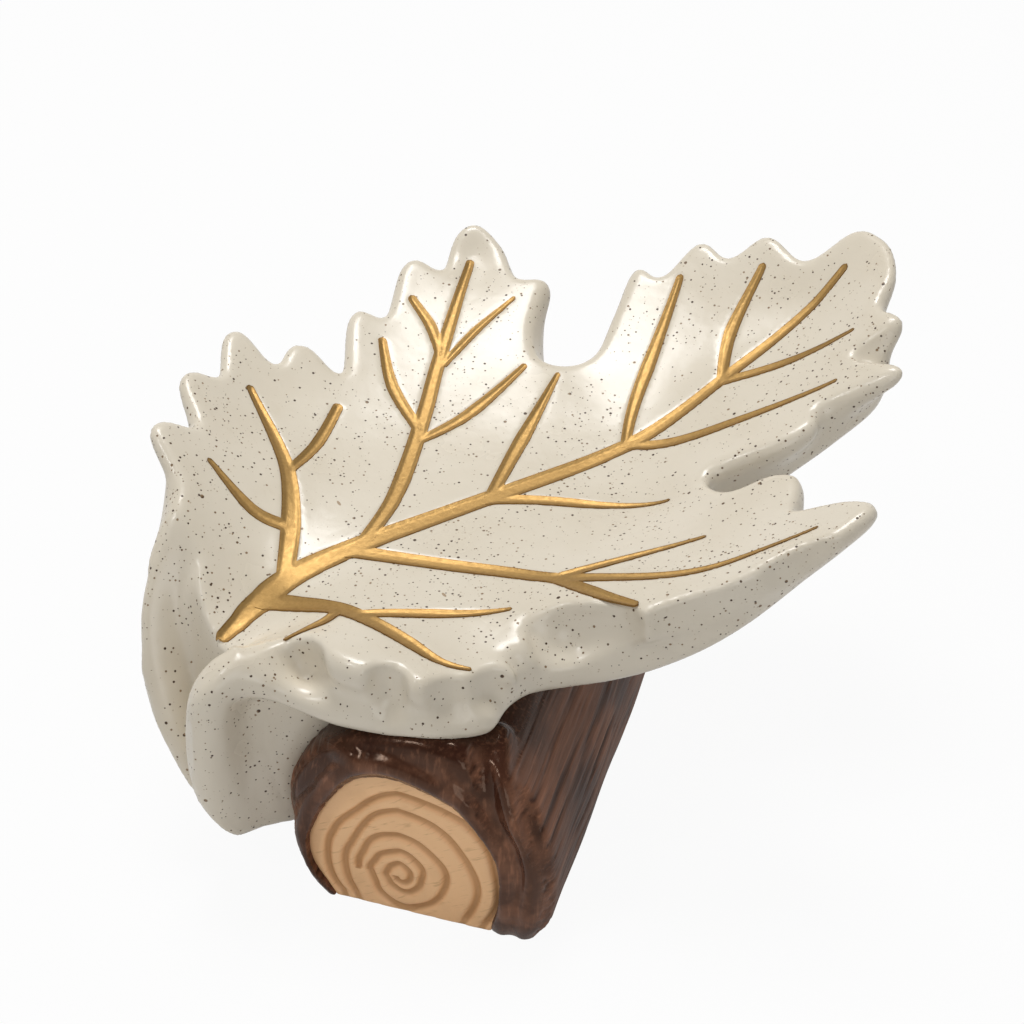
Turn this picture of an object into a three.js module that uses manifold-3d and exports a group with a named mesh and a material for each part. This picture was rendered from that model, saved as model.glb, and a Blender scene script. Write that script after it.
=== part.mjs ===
// Self-draining leaf soap dish on a half log, in millimetres, +Z up, standing on z = 0.
// +X runs along the midrib from the drain spout to the leaf's tip, +Y to the leaf's left.
// The origin is on the ground, under the middle of the leaf's box.

import * as THREE from 'three';
import { mergeVertices } from 'three/addons/utils/BufferGeometryUtils.js';
import Module from 'manifold-3d';

const wasm = await Module();
wasm.setup();

// Leaf: overall sizes. The margin and the veins below are drawn at DRAWN_... and stretched to these.
const LEAF_LENGTH = 162;
const LEAF_WIDTH = 133;
const TIP_RISE = 34;            // height of the tip above the bowl's floor
const LEAF_THICKNESS = 11;
const DRAWN_LENGTH = 162;
const DRAWN_WIDTH = 133;
const DRAWN_RISE = 34;

// Drain spout: a steep funnel that ends in a low lip, and the apron of clay below it.
const LIP_X = -73;
const LIP_Y = -9;
const LIP_HEIGHT = 12;
const LIP_THICKNESS = 5;
const SPOUT_BACK_SLOPE = 6;
const SPOUT_FAR_SLOPE = 2.05;
const SPOUT_NEAR_SLOPE = 4.5;
const SPOUT_ROUND = 3;          // radius at the bottom of the channel
const SPOUT_BLEND = 6;          // how softly the bowl's floor breaks into the funnel
const APRON_NEAR = 9.5;         // lip to the apron's near face, across
const APRON_FAR = 17;           // lip to the apron's far face, across
const APRON_DEPTH = 18;         // lip to the apron's back, along the leaf
const APRON_FLARE = 0.3;        // how much each face opens towards the back
const APRON_OUTER_RISE = 1.5;   // how fast the underside climbs from the lip, outwards
const APRON_INNER_RISE = 0.5;   // and towards the log
const APRON_WALL_SLOPE = 6;
const APRON_BLEND = 5;

// Gold veins, laid in carved grooves.
const GROOVE_DEPTH = 1.2;
const GOLD_THICKNESS = 0.6;
const GOLD_CLEARANCE = 0.3;     // round each stroke, and under it
const VEIN_STEP = 4.5;

// Half log: a D section, flat below, hollow, with a recessed end grain face at each end.
const LOG_LENGTH = 95;
const LOG_WIDTH = 50;
const LOG_BASE_WIDTH = 40;
const LOG_HEIGHT = 41;
const LOG_WIDEST_HEIGHT = 14;
const LOG_WALL = 7;
const LOG_X = -15.1;
const LOG_Y = -9.8;
const LOG_TURN = 43.5;            // degrees from the midrib
const VENT_DIAMETER = 8;
const VENT_FROM_CENTRE = 20;

// End grain faces.
const FACE_WIDTH = 36;
const FACE_HEIGHT = 31.5;
const FACE_SPRING = 10;         // height where the upright sides turn into the arch
const FACE_OFFSET = 3.6;        // the heart sits left of the log's middle
const FACE_THICKNESS = 2.7;
const FACE_RECESS = 1;
const FACE_CLEARANCE = 0.3;

// Fired slip joint between the leaf's saddle and the log.
const SLIP_THICKNESS = 0.6;
const SLIP_CLEARANCE = 0.3;
const SADDLE_LENGTH = 64;
const SADDLE_WIDTH = 24;
const SADDLE_SIDE = 1.5;        // the saddle's middle lies left of the log's crown
const SADDLE_DROP = 7;          // how far the saddle reaches below the log's crown
const SADDLE_LIFT = 2.5;        // leaf's underside above the log's crown at the bowl's floor
const APRON_CLEARANCE = 0.4;    // between the log and the rest of the leaf

const FLOOR_HEIGHT = LOG_HEIGHT + SADDLE_LIFT + LEAF_THICKNESS;

// Leaf margin, clockwise from above starting at the lip: x, y and rise above the bowl's floor.
// The rise is that of the bowl before the spout is cut, so it stays high beside the lip.
const MARGIN = [
  // far wall of the spout
  [-73, -9, -5], [-78.5, -3.5, -2], [-81, 3, 2], [-79, 9.5, 6], [-73.5, 16, 8.5], [-67, 24, 12.5],
  // left basal lobe
  [-63.5, 32.5, 16.5], [-55.5, 33, 12], [-51, 46.5, 17], [-44.5, 46.5, 14.5], [-36, 57, 17.5],
  [-31, 48.5, 12], [-24, 52.5, 13], [-19, 44, 8.5],
  // left side lobe
  [-8, 57.5, 14], [-3.5, 54, 12.5], [9, 64.5, 18.5], [13.5, 59.5, 17.5], [24, 66.5, 23],
  [27.5, 59, 20.5], [26, 49, 17], [30, 45.5, 16.5], [27, 40.5, 14.5], [21.5, 34, 10.8], [20, 28.5, 8.5],
  // end lobe
  [24, 25.5, 7], [30, 25, 8.5], [38.5, 30.5, 13.5], [48, 36.5, 19.5], [49.5, 31, 18.5], [60, 31, 24.5],
  [61.5, 23, 23.5], [69, 20.5, 28], [70.5, 9, 27], [79.5, 4.5, 33.5], [80.5, -4, 33.5],
  [74.5, -13.5, 31.5], [67.5, -15.5, 27], [68.5, -24, 28.5], [59, -21.5, 22], [60.5, -35, 25.5],
  [47, -26.5, 16.5], [44, -30, 15.5], [39, -29.5, 13.5], [25, -22, 6.5],
  // right side lobe
  [23, -32, 8.5], [31, -39, 13.5], [25.5, -49, 13], [28, -57, 19], [28.5, -65.8, 22], [9, -64, 15.5], [7.5, -61.5, 12.5],
  [1, -61, 9.5], [-4, -58, 8], [-14, -56, 4.5], [-18, -42, 2.5],
  // right basal lobe
  [-25, -37, -1.5], [-26, -42.5, -3], [-31, -40.5, -4], [-32, -46, -3], [-35, -43.5, -3.5],
  [-44, -46.5, -2.5], [-51, -40, -1.5], [-58, -33, -0.5], [-62, -22, -0.5],
  // near wall of the spout
  [-69, -17, -2], [-78, -18, -2], [-80.5, -15, -3], [-77.5, -12, -4],
];

// Rises of the bowl inside the margin.
const BOWL = [
  [-62, 0, -6], [-54, 0, -2.5], [-45, 0, -1.5], [-36, 0, -0.5], [-22, 0, 0], [-9, 0, 0.5], [4, 0, 1],
  [18, 0, 2], [26, 0, 3], [35, 0, 6.5], [45, 0, 11.5], [56, 0, 16], [67, 0, 21.5],
  [17.5, 20, 6.5], [17.5, -20, 1.5], [-39, 44, 11], [-39, -42, -3], [21, 60.5, 16], [21, -60.5, 16.5],
  [51, 26, 18.5], [51, -24, 18],
];
const BOWL_STIFFNESS = 60;      // evens out the bowl between its posts

// Vein strokes from above: a node's first stroke is its main vein and the others are its twigs.
const VEINS = {
  vein_midrib: [
    { widths: [3.4, 1.6], points: [[-66, -2.5], [-61, -0.5], [-45, 0], [20, 0], [73, 0]] },
  ],
  vein_left_basal: [
    { widths: [3, 1.5], points: [[-54, 0], [-47, 11], [-42, 22], [-40, 32], [-39, 44]] },
    { widths: [2, 1.5], points: [[-41, 23], [-33, 28], [-24, 36]] },
    { widths: [2, 1.2], points: [[-48, 10], [-53, 15], [-56.5, 25]] },
  ],
  vein_left_lateral: [
    { widths: [3, 1.5], points: [[-38, 0], [-26, 9], [-9, 27.5], [1, 39], [20, 59]] },
    { widths: [2, 1.3], points: [[-12, 24], [-11, 37], [-7, 48.5]] },
    { widths: [2, 1.3], points: [[2, 40], [4, 48], [4, 55.5]] },
    { widths: [1.8, 1.2], points: [[1, 37.5], [14, 42.5], [24.5, 45]] },
    { widths: [2.2, 1.4], points: [[-14, 21.5], [-2, 23], [15, 28.5]] },
  ],
  vein_left_inner: [{ widths: [2.6, 1.4], points: [[-10, 0], [2, 10], [20, 23.5]] }],
  vein_left_upper: [{ widths: [2.4, 1.4], points: [[21, 0], [31, 10.5], [52, 27]] }],
  vein_left_tip: [{ widths: [2.4, 1.4], points: [[44, 0], [52.5, 9], [64, 15]] }],
  vein_right_tip: [{ widths: [2, 1.2], points: [[43, 0], [52, -7], [63, -16]] }],
  vein_right_upper: [{ widths: [2.2, 1.2], points: [[22, 0], [30, -7.5], [53, -24]] }],
  vein_right_inner: [{ widths: [2.4, 1.2], points: [[-11, 0], [1, -7.5], [17, -21]] }],
  vein_right_lateral: [
    { widths: [2.8, 1.2], points: [[-41, 0], [-22, -19.5], [-12, -34], [3, -50.5], [21, -60]] },
    { widths: [2, 1.2], points: [[-14, -31], [1, -36], [11, -41]] },
    { widths: [2, 1.2], points: [[-14.5, -31], [-12.5, -42], [-10, -50]] },
  ],
  vein_right_basal: [
    { widths: [2.6, 1.4], points: [[-59.5, 0], [-52, -12], [-46, -23], [-44.5, -34], [-40, -42.5]] },
    { widths: [2, 1.2], points: [[-47.5, -20], [-38, -25.5], [-25, -33]] },
    { widths: [1.8, 1], points: [[-51, -14], [-57, -17], [-62.5, -17.5]] },
  ],
};

const GLAZED_CREAM = { color: 0xddd5c8, roughness: 0.22, metalness: 0 };
const GOLD_LUSTRE = { color: 0xc49a48, roughness: 0.3, metalness: 1 };
const BROWN_GLAZE = { color: 0x46291f, roughness: 0.15, metalness: 0 };
const TAN_GLAZE = { color: 0xd6aa73, roughness: 0.4, metalness: 0 };
const RAW_SLIP = { color: 0xb9ad99, roughness: 0.8, metalness: 0 };

const DEGREE = Math.PI / 180;
const PAST = 1;                 // how far a cut runs past what it cuts
const ARC_STEPS = 10;           // straight steps in each arc of an outline
const MARGIN_STEPS = 3;         // and between two points of the margin
const stretchX = LEAF_LENGTH / DRAWN_LENGTH;
const stretchY = LEAF_WIDTH / DRAWN_WIDTH;
const stretchZ = TIP_RISE / DRAWN_RISE;
const lip = new THREE.Vector2(LIP_X * stretchX, LIP_Y * stretchY);
const onPlan = ([x, y]) => new THREE.Vector2(x * stretchX, y * stretchY);

// Closed bodies and their cuts

function solid(geometry) {
  const bare = geometry.clone();
  bare.deleteAttribute('normal');
  bare.deleteAttribute('uv');
  const merged = mergeVertices(bare, 1e-4);
  return new wasm.Manifold(new wasm.Mesh({
    numProp: 3,
    vertProperties: new Float32Array(merged.attributes.position.array),
    triVerts: new Uint32Array(merged.index.array),
  }));
}

function geometryOf(body) {
  const { vertProperties, triVerts } = body.getMesh();
  const geometry = new THREE.BufferGeometry();
  geometry.setAttribute('position', new THREE.BufferAttribute(vertProperties, 3));
  geometry.setIndex(new THREE.BufferAttribute(triVerts, 1));
  geometry.computeVertexNormals();
  return geometry;
}

// A box cut into cells, whose corners go to place(u, v, upper) for u and v from 0 to 1.
function warpedBox(cellsU, cellsV, place) {
  const box = new THREE.BoxGeometry(1, 1, 1, cellsU, cellsV, 1);
  const corners = box.attributes.position;
  for (let i = 0; i < corners.count; i += 1) {
    const point = place(corners.getX(i) + 0.5, corners.getY(i) + 0.5, corners.getZ(i) > 0);
    corners.setXYZ(i, point.x, point.y, point.z);
  }
  return box;
}

function prism(shape, bottom, top) {
  const depth = top - bottom;
  const body = new THREE.ExtrudeGeometry(shape, { depth, bevelEnabled: false, curveSegments: ARC_STEPS });
  return body.translate(0, 0, bottom);
}

// The bowl: a thin bent plate through the posts

function solveLinear(rows) {
  const size = rows.length;
  for (let pivot = 0; pivot < size; pivot += 1) {
    let best = pivot;
    for (let row = pivot + 1; row < size; row += 1) {
      if (Math.abs(rows[row][pivot]) > Math.abs(rows[best][pivot])) best = row;
    }
    [rows[pivot], rows[best]] = [rows[best], rows[pivot]];
    for (let row = 0; row < size; row += 1) {
      if (row === pivot) continue;
      const factor = rows[row][pivot] / rows[pivot][pivot];
      for (let column = pivot; column <= size; column += 1) rows[row][column] -= factor * rows[pivot][column];
    }
  }
  return rows.map((row, i) => row[size] / row[i]);
}

function bentPlate(posts, stiffness) {
  const sag = (dx, dy) => {
    const square = dx * dx + dy * dy;
    return square > 0 ? 0.5 * square * Math.log(square) : 0;
  };
  const rows = posts.map(([x, y, z], i) => [
    ...posts.map(([px, py], j) => sag(x - px, y - py) + (i === j ? stiffness : 0)), 1, x, y, z,
  ]);
  rows.push([...posts.map(() => 1), 0, 0, 0, 0]);
  rows.push([...posts.map(([x]) => x), 0, 0, 0, 0]);
  rows.push([...posts.map(([, y]) => y), 0, 0, 0, 0]);
  const weights = solveLinear(rows);
  const [level, tiltX, tiltY] = weights.slice(posts.length);
  return (x, y) => posts.reduce(
    (sum, [px, py], i) => sum + weights[i] * sag(x - px, y - py),
    level + tiltX * x + tiltY * y,
  );
}

function softMin(a, b, blend) {
  const share = THREE.MathUtils.clamp(0.5 + 0.5 * (b - a) / blend, 0, 1);
  return b + (a - b) * share - blend * share * (1 - share);
}

const drawnBowl = bentPlate([...MARGIN, ...BOWL], BOWL_STIFFNESS);
const bowl = (x, y) => FLOOR_HEIGHT + stretchZ * drawnBowl(x / stretchX, y / stretchY);

function funnel(x, y) {
  const back = SPOUT_BACK_SLOPE * Math.max(0, x - lip.x);
  const side = (y > lip.y ? SPOUT_FAR_SLOPE : SPOUT_NEAR_SLOPE) * (y - lip.y);
  return LIP_HEIGHT + Math.hypot(back, side, SPOUT_ROUND) - SPOUT_ROUND;
}

const upperSide = (x, y) => softMin(bowl(x, y), funnel(x, y), SPOUT_BLEND);

function apronUnderside(x, y) {
  const flare = APRON_FLARE * (x - lip.x);
  const outside = Math.max(0, lip.y - APRON_NEAR - flare - y)
    + Math.max(0, y - lip.y - APRON_FAR - flare)
    + Math.max(0, x - lip.x - APRON_DEPTH);
  const riseX = x > lip.x ? APRON_INNER_RISE : APRON_OUTER_RISE;
  const riseY = y < lip.y ? APRON_INNER_RISE : APRON_OUTER_RISE;
  const climb = Math.hypot(riseX * (x - lip.x), riseY * (y - lip.y));
  return LIP_HEIGHT - LIP_THICKNESS + climb + APRON_WALL_SLOPE * outside;
}

function underside(x, y) {
  const below = softMin(bowl(x, y) - LEAF_THICKNESS, apronUnderside(x, y), APRON_BLEND);
  return Math.min(below, upperSide(x, y) - LIP_THICKNESS);
}

// Half log, in its own frame: x along it from front to rear, y to its left

function logSection(grow = 0) {
  const half = LOG_WIDTH / 2 + grow;
  const halfBase = LOG_BASE_WIDTH / 2 + grow;
  const shape = new THREE.Shape();
  shape.moveTo(-halfBase, -grow);
  shape.lineTo(halfBase, -grow);
  shape.quadraticCurveTo(half, -grow, half, LOG_WIDEST_HEIGHT);
  shape.absellipse(0, LOG_WIDEST_HEIGHT, half, LOG_HEIGHT - LOG_WIDEST_HEIGHT + grow, 0, Math.PI, false);
  shape.quadraticCurveTo(-half, -grow, -halfBase, -grow);
  return shape;
}

function faceSection(grow = 0) {
  const half = FACE_WIDTH / 2 + grow;
  const foot = FACE_CLEARANCE - grow;
  const shape = new THREE.Shape();
  shape.moveTo(FACE_OFFSET - half, foot);
  shape.lineTo(FACE_OFFSET + half, foot);
  shape.lineTo(FACE_OFFSET + half, FACE_SPRING);
  shape.absellipse(FACE_OFFSET, FACE_SPRING, half, FACE_HEIGHT - FACE_SPRING + grow, 0, Math.PI, false);
  shape.closePath();
  return shape;
}

// Runs a section along the log between two distances from its middle.
function alongLog(section, from, to) {
  const yzx = new THREE.Matrix4().makeBasis(
    new THREE.Vector3(0, 1, 0), new THREE.Vector3(0, 0, 1), new THREE.Vector3(1, 0, 0),
  );
  return prism(section, from, to).applyMatrix4(yzx);
}

const logEnd = LOG_LENGTH / 2;
const grownLog = (grow) => solid(alongLog(logSection(grow), -logEnd - grow, logEnd + grow));
const socketDepth = FACE_RECESS + FACE_THICKNESS + FACE_CLEARANCE;

function logBody() {
  const cavityEnd = logEnd - socketDepth - LOG_WALL;
  const ventLength = 2 * (LOG_WALL + PAST);
  const vent = new THREE.CylinderGeometry(VENT_DIAMETER / 2, VENT_DIAMETER / 2, ventLength, 2 * ARC_STEPS)
    .rotateX(Math.PI / 2)
    .translate(VENT_FROM_CENTRE, 0, 0);
  const socket = faceSection(FACE_CLEARANCE);
  return grownLog(0)
    .subtract(solid(alongLog(logSection(-LOG_WALL), -cavityEnd, cavityEnd)))
    .subtract(solid(vent))
    .subtract(solid(alongLog(socket, -logEnd - PAST, socketDepth - logEnd)))
    .subtract(solid(alongLog(socket, logEnd - socketDepth, logEnd + PAST)));
}

function endFace(side) {
  const outer = logEnd - FACE_RECESS;
  const inner = outer - FACE_THICKNESS;
  return alongLog(faceSection(), Math.min(side * inner, side * outer), Math.max(side * inner, side * outer));
}

function saddleBlock(inset = 0) {
  const half = SADDLE_WIDTH / 2 - inset;
  const straight = (SADDLE_LENGTH - SADDLE_WIDTH) / 2;
  const shape = new THREE.Shape();
  shape.absarc(straight, SADDLE_SIDE, half, -Math.PI / 2, Math.PI / 2, false);
  shape.absarc(-straight, SADDLE_SIDE, half, Math.PI / 2, 1.5 * Math.PI, false);
  shape.closePath();
  return prism(shape, LOG_HEIGHT - SADDLE_DROP, FLOOR_HEIGHT - LEAF_THICKNESS / 2);
}

function slipJoint() {
  return grownLog(SLIP_CLEARANCE + SLIP_THICKNESS)
    .subtract(grownLog(SLIP_CLEARANCE))
    .intersect(solid(saddleBlock(SLIP_CLEARANCE)));
}

// Leaf dish and its gold

function marginShape() {
  const rim = MARGIN.map(([x, y]) => new THREE.Vector3(x * stretchX, y * stretchY, 0));
  const curve = new THREE.CatmullRomCurve3(rim, true, 'centripetal');
  const points = curve.getPoints(MARGIN.length * MARGIN_STEPS).slice(0, -1);
  return new THREE.Shape(points.map(({ x, y }) => new THREE.Vector2(x, y)));
}

// The plate between the leaf's two sides, over a rectangle a little larger than the leaf.
function leafPlate() {
  const border = 3;
  const cellsX = 42;
  const cellsY = 30;
  const crowd = 0.35;           // cells are narrower towards the spout
  const place = (u, v, upper) => {
    const along = u * (1 - crowd) + u * u * crowd;
    const x = (along - 0.5) * (LEAF_LENGTH + 2 * border);
    const y = (v - 0.5) * (LEAF_WIDTH + 2 * border);
    return new THREE.Vector3(x, y, upper ? upperSide(x, y) : underside(x, y));
  };
  return warpedBox(cellsX, cellsY, place);
}

// A strip along one stroke, grown sideways and lying between two depths below the leaf's upper side.
function veinStrip({ widths, points }, grow, deep, shallow) {
  const path = new THREE.SplineCurve(points.map(onPlan));
  const steps = Math.max(2, Math.round(path.getLength() / VEIN_STEP));
  const place = (u, v, upper) => {
    const centre = path.getPointAt(u);
    const heading = path.getTangentAt(u);
    const end = (u === 1 ? grow : 0) - (u === 0 ? grow : 0);
    const half = THREE.MathUtils.lerp(widths[0], widths[1], u) / 2 + grow;
    const across = (v - 0.5) * 2 * half;
    const x = centre.x + end * heading.x - across * heading.y;
    const y = centre.y + end * heading.y + across * heading.x;
    return new THREE.Vector3(x, y, upperSide(x, y) - (upper ? shallow : deep));
  };
  return solid(warpedBox(steps, 1, place));
}

const unite = (bodies) => bodies.reduce((whole, body) => whole.add(body));
const groove = (strokes) => unite(strokes.map(
  (stroke) => veinStrip(stroke, GOLD_CLEARANCE, GROOVE_DEPTH, -GROOVE_DEPTH),
));
const goldTop = GROOVE_DEPTH - GOLD_CLEARANCE - GOLD_THICKNESS;
const gold = (strokes) => unite(strokes.map(
  (stroke) => veinStrip(stroke, 0, GROOVE_DEPTH - GOLD_CLEARANCE, goldTop),
));

const logPlace = new THREE.Matrix4()
  .makeRotationZ(LOG_TURN * DEGREE)
  .setPosition(LOG_X * stretchX, LOG_Y * stretchY, 0);
const placedLog = (grow) => solid(geometryOf(grownLog(grow)).applyMatrix4(logPlace));

function leafDish() {
  const saddle = solid(saddleBlock().applyMatrix4(logPlace));
  const aroundSaddle = solid(saddleBlock(-APRON_CLEARANCE).applyMatrix4(logPlace));
  const slipSpace = placedLog(SLIP_THICKNESS + 2 * SLIP_CLEARANCE).intersect(aroundSaddle);
  const body = solid(leafPlate())
    .intersect(solid(prism(marginShape(), -PAST, FLOOR_HEIGHT + 2 * TIP_RISE)))
    .add(saddle)
    .subtract(slipSpace)
    .subtract(placedLog(APRON_CLEARANCE));
  return Object.values(VEINS).reduce((leaf, strokes) => leaf.subtract(groove(strokes)), body);
}

// Each side vein stops at the midrib's groove.
function goldStroke(name) {
  const body = gold(VEINS[name]);
  if (name === 'vein_midrib') return body;
  const [midrib] = VEINS.vein_midrib;
  return body.subtract(veinStrip(midrib, GOLD_CLEARANCE, 2 * GROOVE_DEPTH, -GROOVE_DEPTH));
}

function piece(name, geometry, finish) {
  const mesh = new THREE.Mesh(geometry, new THREE.MeshStandardMaterial(finish));
  mesh.name = name;
  return mesh;
}

const log = new THREE.Group();
log.applyMatrix4(logPlace);
log.add(
  piece('log_body', geometryOf(logBody()), BROWN_GLAZE),
  piece('log_front_face', endFace(-1), TAN_GLAZE),
  piece('log_rear_face', endFace(1), TAN_GLAZE),
  piece('slip_joint', geometryOf(slipJoint()), RAW_SLIP),
);

const soapDish = new THREE.Group();
soapDish.add(log, piece('leaf_dish', geometryOf(leafDish()), GLAZED_CREAM));
for (const name of Object.keys(VEINS)) {
  soapDish.add(piece(name, geometryOf(goldStroke(name)), GOLD_LUSTRE));
}

export default soapDish;
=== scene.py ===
"""Leaf soap dish on a half log: its clay, gold and glazes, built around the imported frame.

The tables hold millimetres in the part's frame: +X along the midrib from the spout to the tip,
+Y to the leaf's left, +Z up, with the dish standing on z = 0.
"""

import math

import bpy
import numpy as np
import openvdb
from bpy.props import FloatProperty, FloatVectorProperty, IntProperty, PointerProperty
from bpy.types import Operator, Panel, PropertyGroup
from mathutils import Matrix, Vector


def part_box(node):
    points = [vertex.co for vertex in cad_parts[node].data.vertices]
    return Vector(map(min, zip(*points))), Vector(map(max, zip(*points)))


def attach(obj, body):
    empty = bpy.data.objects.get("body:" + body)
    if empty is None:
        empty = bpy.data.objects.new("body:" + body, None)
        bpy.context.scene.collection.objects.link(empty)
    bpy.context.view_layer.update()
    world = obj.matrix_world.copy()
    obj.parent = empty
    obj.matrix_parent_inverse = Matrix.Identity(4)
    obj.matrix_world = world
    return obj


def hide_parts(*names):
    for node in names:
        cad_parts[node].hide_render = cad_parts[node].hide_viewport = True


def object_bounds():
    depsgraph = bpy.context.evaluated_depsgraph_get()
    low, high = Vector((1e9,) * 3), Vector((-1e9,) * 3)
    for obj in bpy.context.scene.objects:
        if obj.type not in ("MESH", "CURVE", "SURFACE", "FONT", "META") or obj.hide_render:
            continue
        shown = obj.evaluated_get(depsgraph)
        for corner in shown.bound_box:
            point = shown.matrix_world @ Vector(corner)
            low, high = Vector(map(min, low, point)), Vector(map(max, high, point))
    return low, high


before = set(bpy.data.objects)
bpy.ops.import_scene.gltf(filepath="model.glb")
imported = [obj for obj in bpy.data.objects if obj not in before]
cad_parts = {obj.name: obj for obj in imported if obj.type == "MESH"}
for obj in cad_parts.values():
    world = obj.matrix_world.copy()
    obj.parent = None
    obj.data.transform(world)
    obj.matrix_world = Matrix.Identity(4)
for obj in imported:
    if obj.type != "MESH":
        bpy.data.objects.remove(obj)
CAD_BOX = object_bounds()

bl_info = {
    "name": "Leaf Soap Dish",
    "version": (1, 0, 0),
    "blender": (4, 5, 0),
    "location": "View3D > Sidebar > Soap Dish",
    "description": "Builds a leaf soap dish on a half log around its packed frame",
    "category": "Add Mesh",
}

MM = 0.001
FAR = 1000.0                    # farther than anything in the dish, in millimetres
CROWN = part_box("log_body")[1].z / MM

# Leaf margin, clockwise from above starting at the lip: x, y and rise above the bowl's floor
MARGIN = [
    # far wall of the spout
    (-73, -9, -9), (-78.5, -3.5, -6), (-81, 3, 2), (-79, 9.5, 6), (-75.4, 13, 7), (-70.6, 15.8, 8),
    (-67.3, 17.6, 9), (-65.3, 20.6, 10.5), (-65.2, 24.5, 12.5),
    # left basal lobe
    (-65, 32, 17), (-61.5, 34, 16.5), (-55.5, 34, 12.5), (-53, 45.5, 17), (-49.5, 48, 17), (-44.5, 47, 14.5),
    (-38, 57, 17.5), (-34.5, 57.5, 17.5), (-31, 49, 12), (-25.5, 53, 13.5), (-22, 52, 12.5), (-19, 44, 8.5),
    # left side lobe
    (-9.5, 57.5, 14), (-6.5, 58, 14), (-3.5, 54.5, 12.5), (7, 64.5, 18.5), (10.5, 64.5, 18.5),
    (13.5, 60, 17.5), (21, 66, 22.5), (25.5, 65.5, 23.5), (27.5, 59, 20.5), (26, 49, 17),
    (31, 45.3, 16.5), (25.5, 40, 14.3), (21, 34.5, 10.5), (19.5, 29, 8.5),
    # end lobe
    (24, 25.5, 7), (30, 25, 8.5), (38.5, 30.5, 13.5), (48, 36.5, 19.5), (49.5, 31, 18.5), (60, 31, 24.5),
    (61.5, 23, 23.5), (69, 20.5, 28), (70.5, 9, 27), (79.5, 4.5, 33.5), (80.5, -4, 33.5),
    (75, -13, 31.5), (69.3, -16.2, 28), (68.5, -24, 28.5), (59, -21.5, 22), (60.5, -35, 25.5),
    (47, -26.5, 16.5), (44, -30, 15.5), (39, -29.5, 13.5), (25, -22, 6.5),
    # right side lobe
    (23, -32, 8.5), (29.5, -36, 12.5), (32, -40.5, 13.5), (28.5, -45.5, 12.5), (25, -48.5, 12.5),
    (27, -53, 15.3), (28.8, -57.5, 18.8), (30, -61.5, 21), (30.5, -64.5, 20), (26.5, -66.3, 21),
    (9, -64, 15.5),
    (7.5, -61.5, 12.5), (1, -61, 9.5), (-4, -58, 8), (-14, -56, 4.5), (-18, -42, 2.5),
    # right basal lobe
    (-25, -37, -1.5), (-26, -42.5, -3), (-31, -40.5, -4), (-32, -46, -3), (-35, -43.5, -3.5),
    (-44, -46.5, -2.5), (-51, -40, -1.5), (-58, -33, -0.5), (-62, -22, -0.5),
    # near wall of the spout
    (-69, -17, -6), (-77.5, -18, -6), (-80, -15, -7), (-77.5, -12, -8),
]

# Smooth lower edge of the wall, where the teeth have faded out
LOWER_EDGE = [
    (-73, -9), (-78.5, -3.5), (-81, 3), (-79, 9.5), (-70.6, 16.2), (-64, 24), (-61.2, 30), (-54, 38.5),
    (-46, 45.5), (-37, 50.5), (-28, 48.5), (-19.5, 43.5), (-9, 52), (2, 57.5), (13, 60.5), (22, 61.5),
    (26, 55), (30, 47), (28, 42), (25, 37), (22.5, 32), (20.5, 27.5), (23.5, 24), (30, 23.5), (40, 28.5),
    (49, 31), (58, 27), (65, 19), (71.5, 9), (75, 0), (73.5, -9), (70, -17.5), (66, -24.5), (60.5, -29),
    (52, -28.5), (44, -27.5), (37, -26.5), (25, -21), (22, -30), (29, -37), (31.5, -42), (28, -49),
    (28, -55), (27.5, -62), (11, -62), (2, -59), (-7, -53.5), (-15, -48.5), (-21, -45), (-27, -43),
    (-33, -44.5), (-39, -45), (-45, -43.5), (-52, -37.5), (-58, -30), (-61, -21.5),
    (-69, -17), (-77.5, -18), (-80, -15), (-77.5, -12),
]

# Rises of the bowl inside the margin
BOWL = [
    (-70, -5, -8.5), (-65, -2.5, -8), (-60, -1, -6.5), (-54, 0, -2.5), (-45, 0, -1.5), (-36, 0, -0.5),
    (-22, 0, 0), (-9, 0, 0.5), (4, 0, 1), (18, 0, 2), (26, 0, 3), (35, 0, 6.5), (45, 0, 11.5),
    (56, 0, 16), (67, 0, 21.5),
    (17.5, 20, 6.5), (17.5, -20, 1.5), (-39, 44, 11), (-39, -42, -3), (21, 60.5, 16), (21, -60.5, 16.5),
    (51, 26, 18.5), (51, -24, 18),
]
BOWL_STIFFNESS = 60
FLARE_DEPTH = 5
EDGE_BLEND = 0.6                # how softly the upper and lower parts of the wall meet

# Heights of the underside, a plainer dish than the bowl above it
UNDERSIDE = [
    (-54, 0, 41), (-30, 0, 43), (0, 0, 43.5), (10, 20, 46.5), (10, -20, 44), (40, 0, 50), (60, 0, 60),
    (-63, 32, 59.5), (-51, 46, 59), (-36, 56, 60.5), (-20, 44, 51.5), (-8, 56, 57), (9, 63, 61.5),
    (24, 65, 66), (27, 50, 60.5), (20, 29, 51), (30, 25, 52), (48, 35, 62.5), (60, 30, 68),
    (70, 12, 72), (79, 0, 77),
    (70, -20, 71.5), (60, -32, 67.5), (45, -28, 58.5), (25, -22, 49.5), (30, -40, 56.5), (26, -63, 66.5),
    (9, -62, 56.5), (1, -58, 50.5), (-7, -52, 45), (-14, -47, 42.5), (-20, -44, 41.3), (-27, -42, 41),
    (-44, -45, 40.5), (-57, -32, 41), (-62, -20, 41),
]

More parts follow.
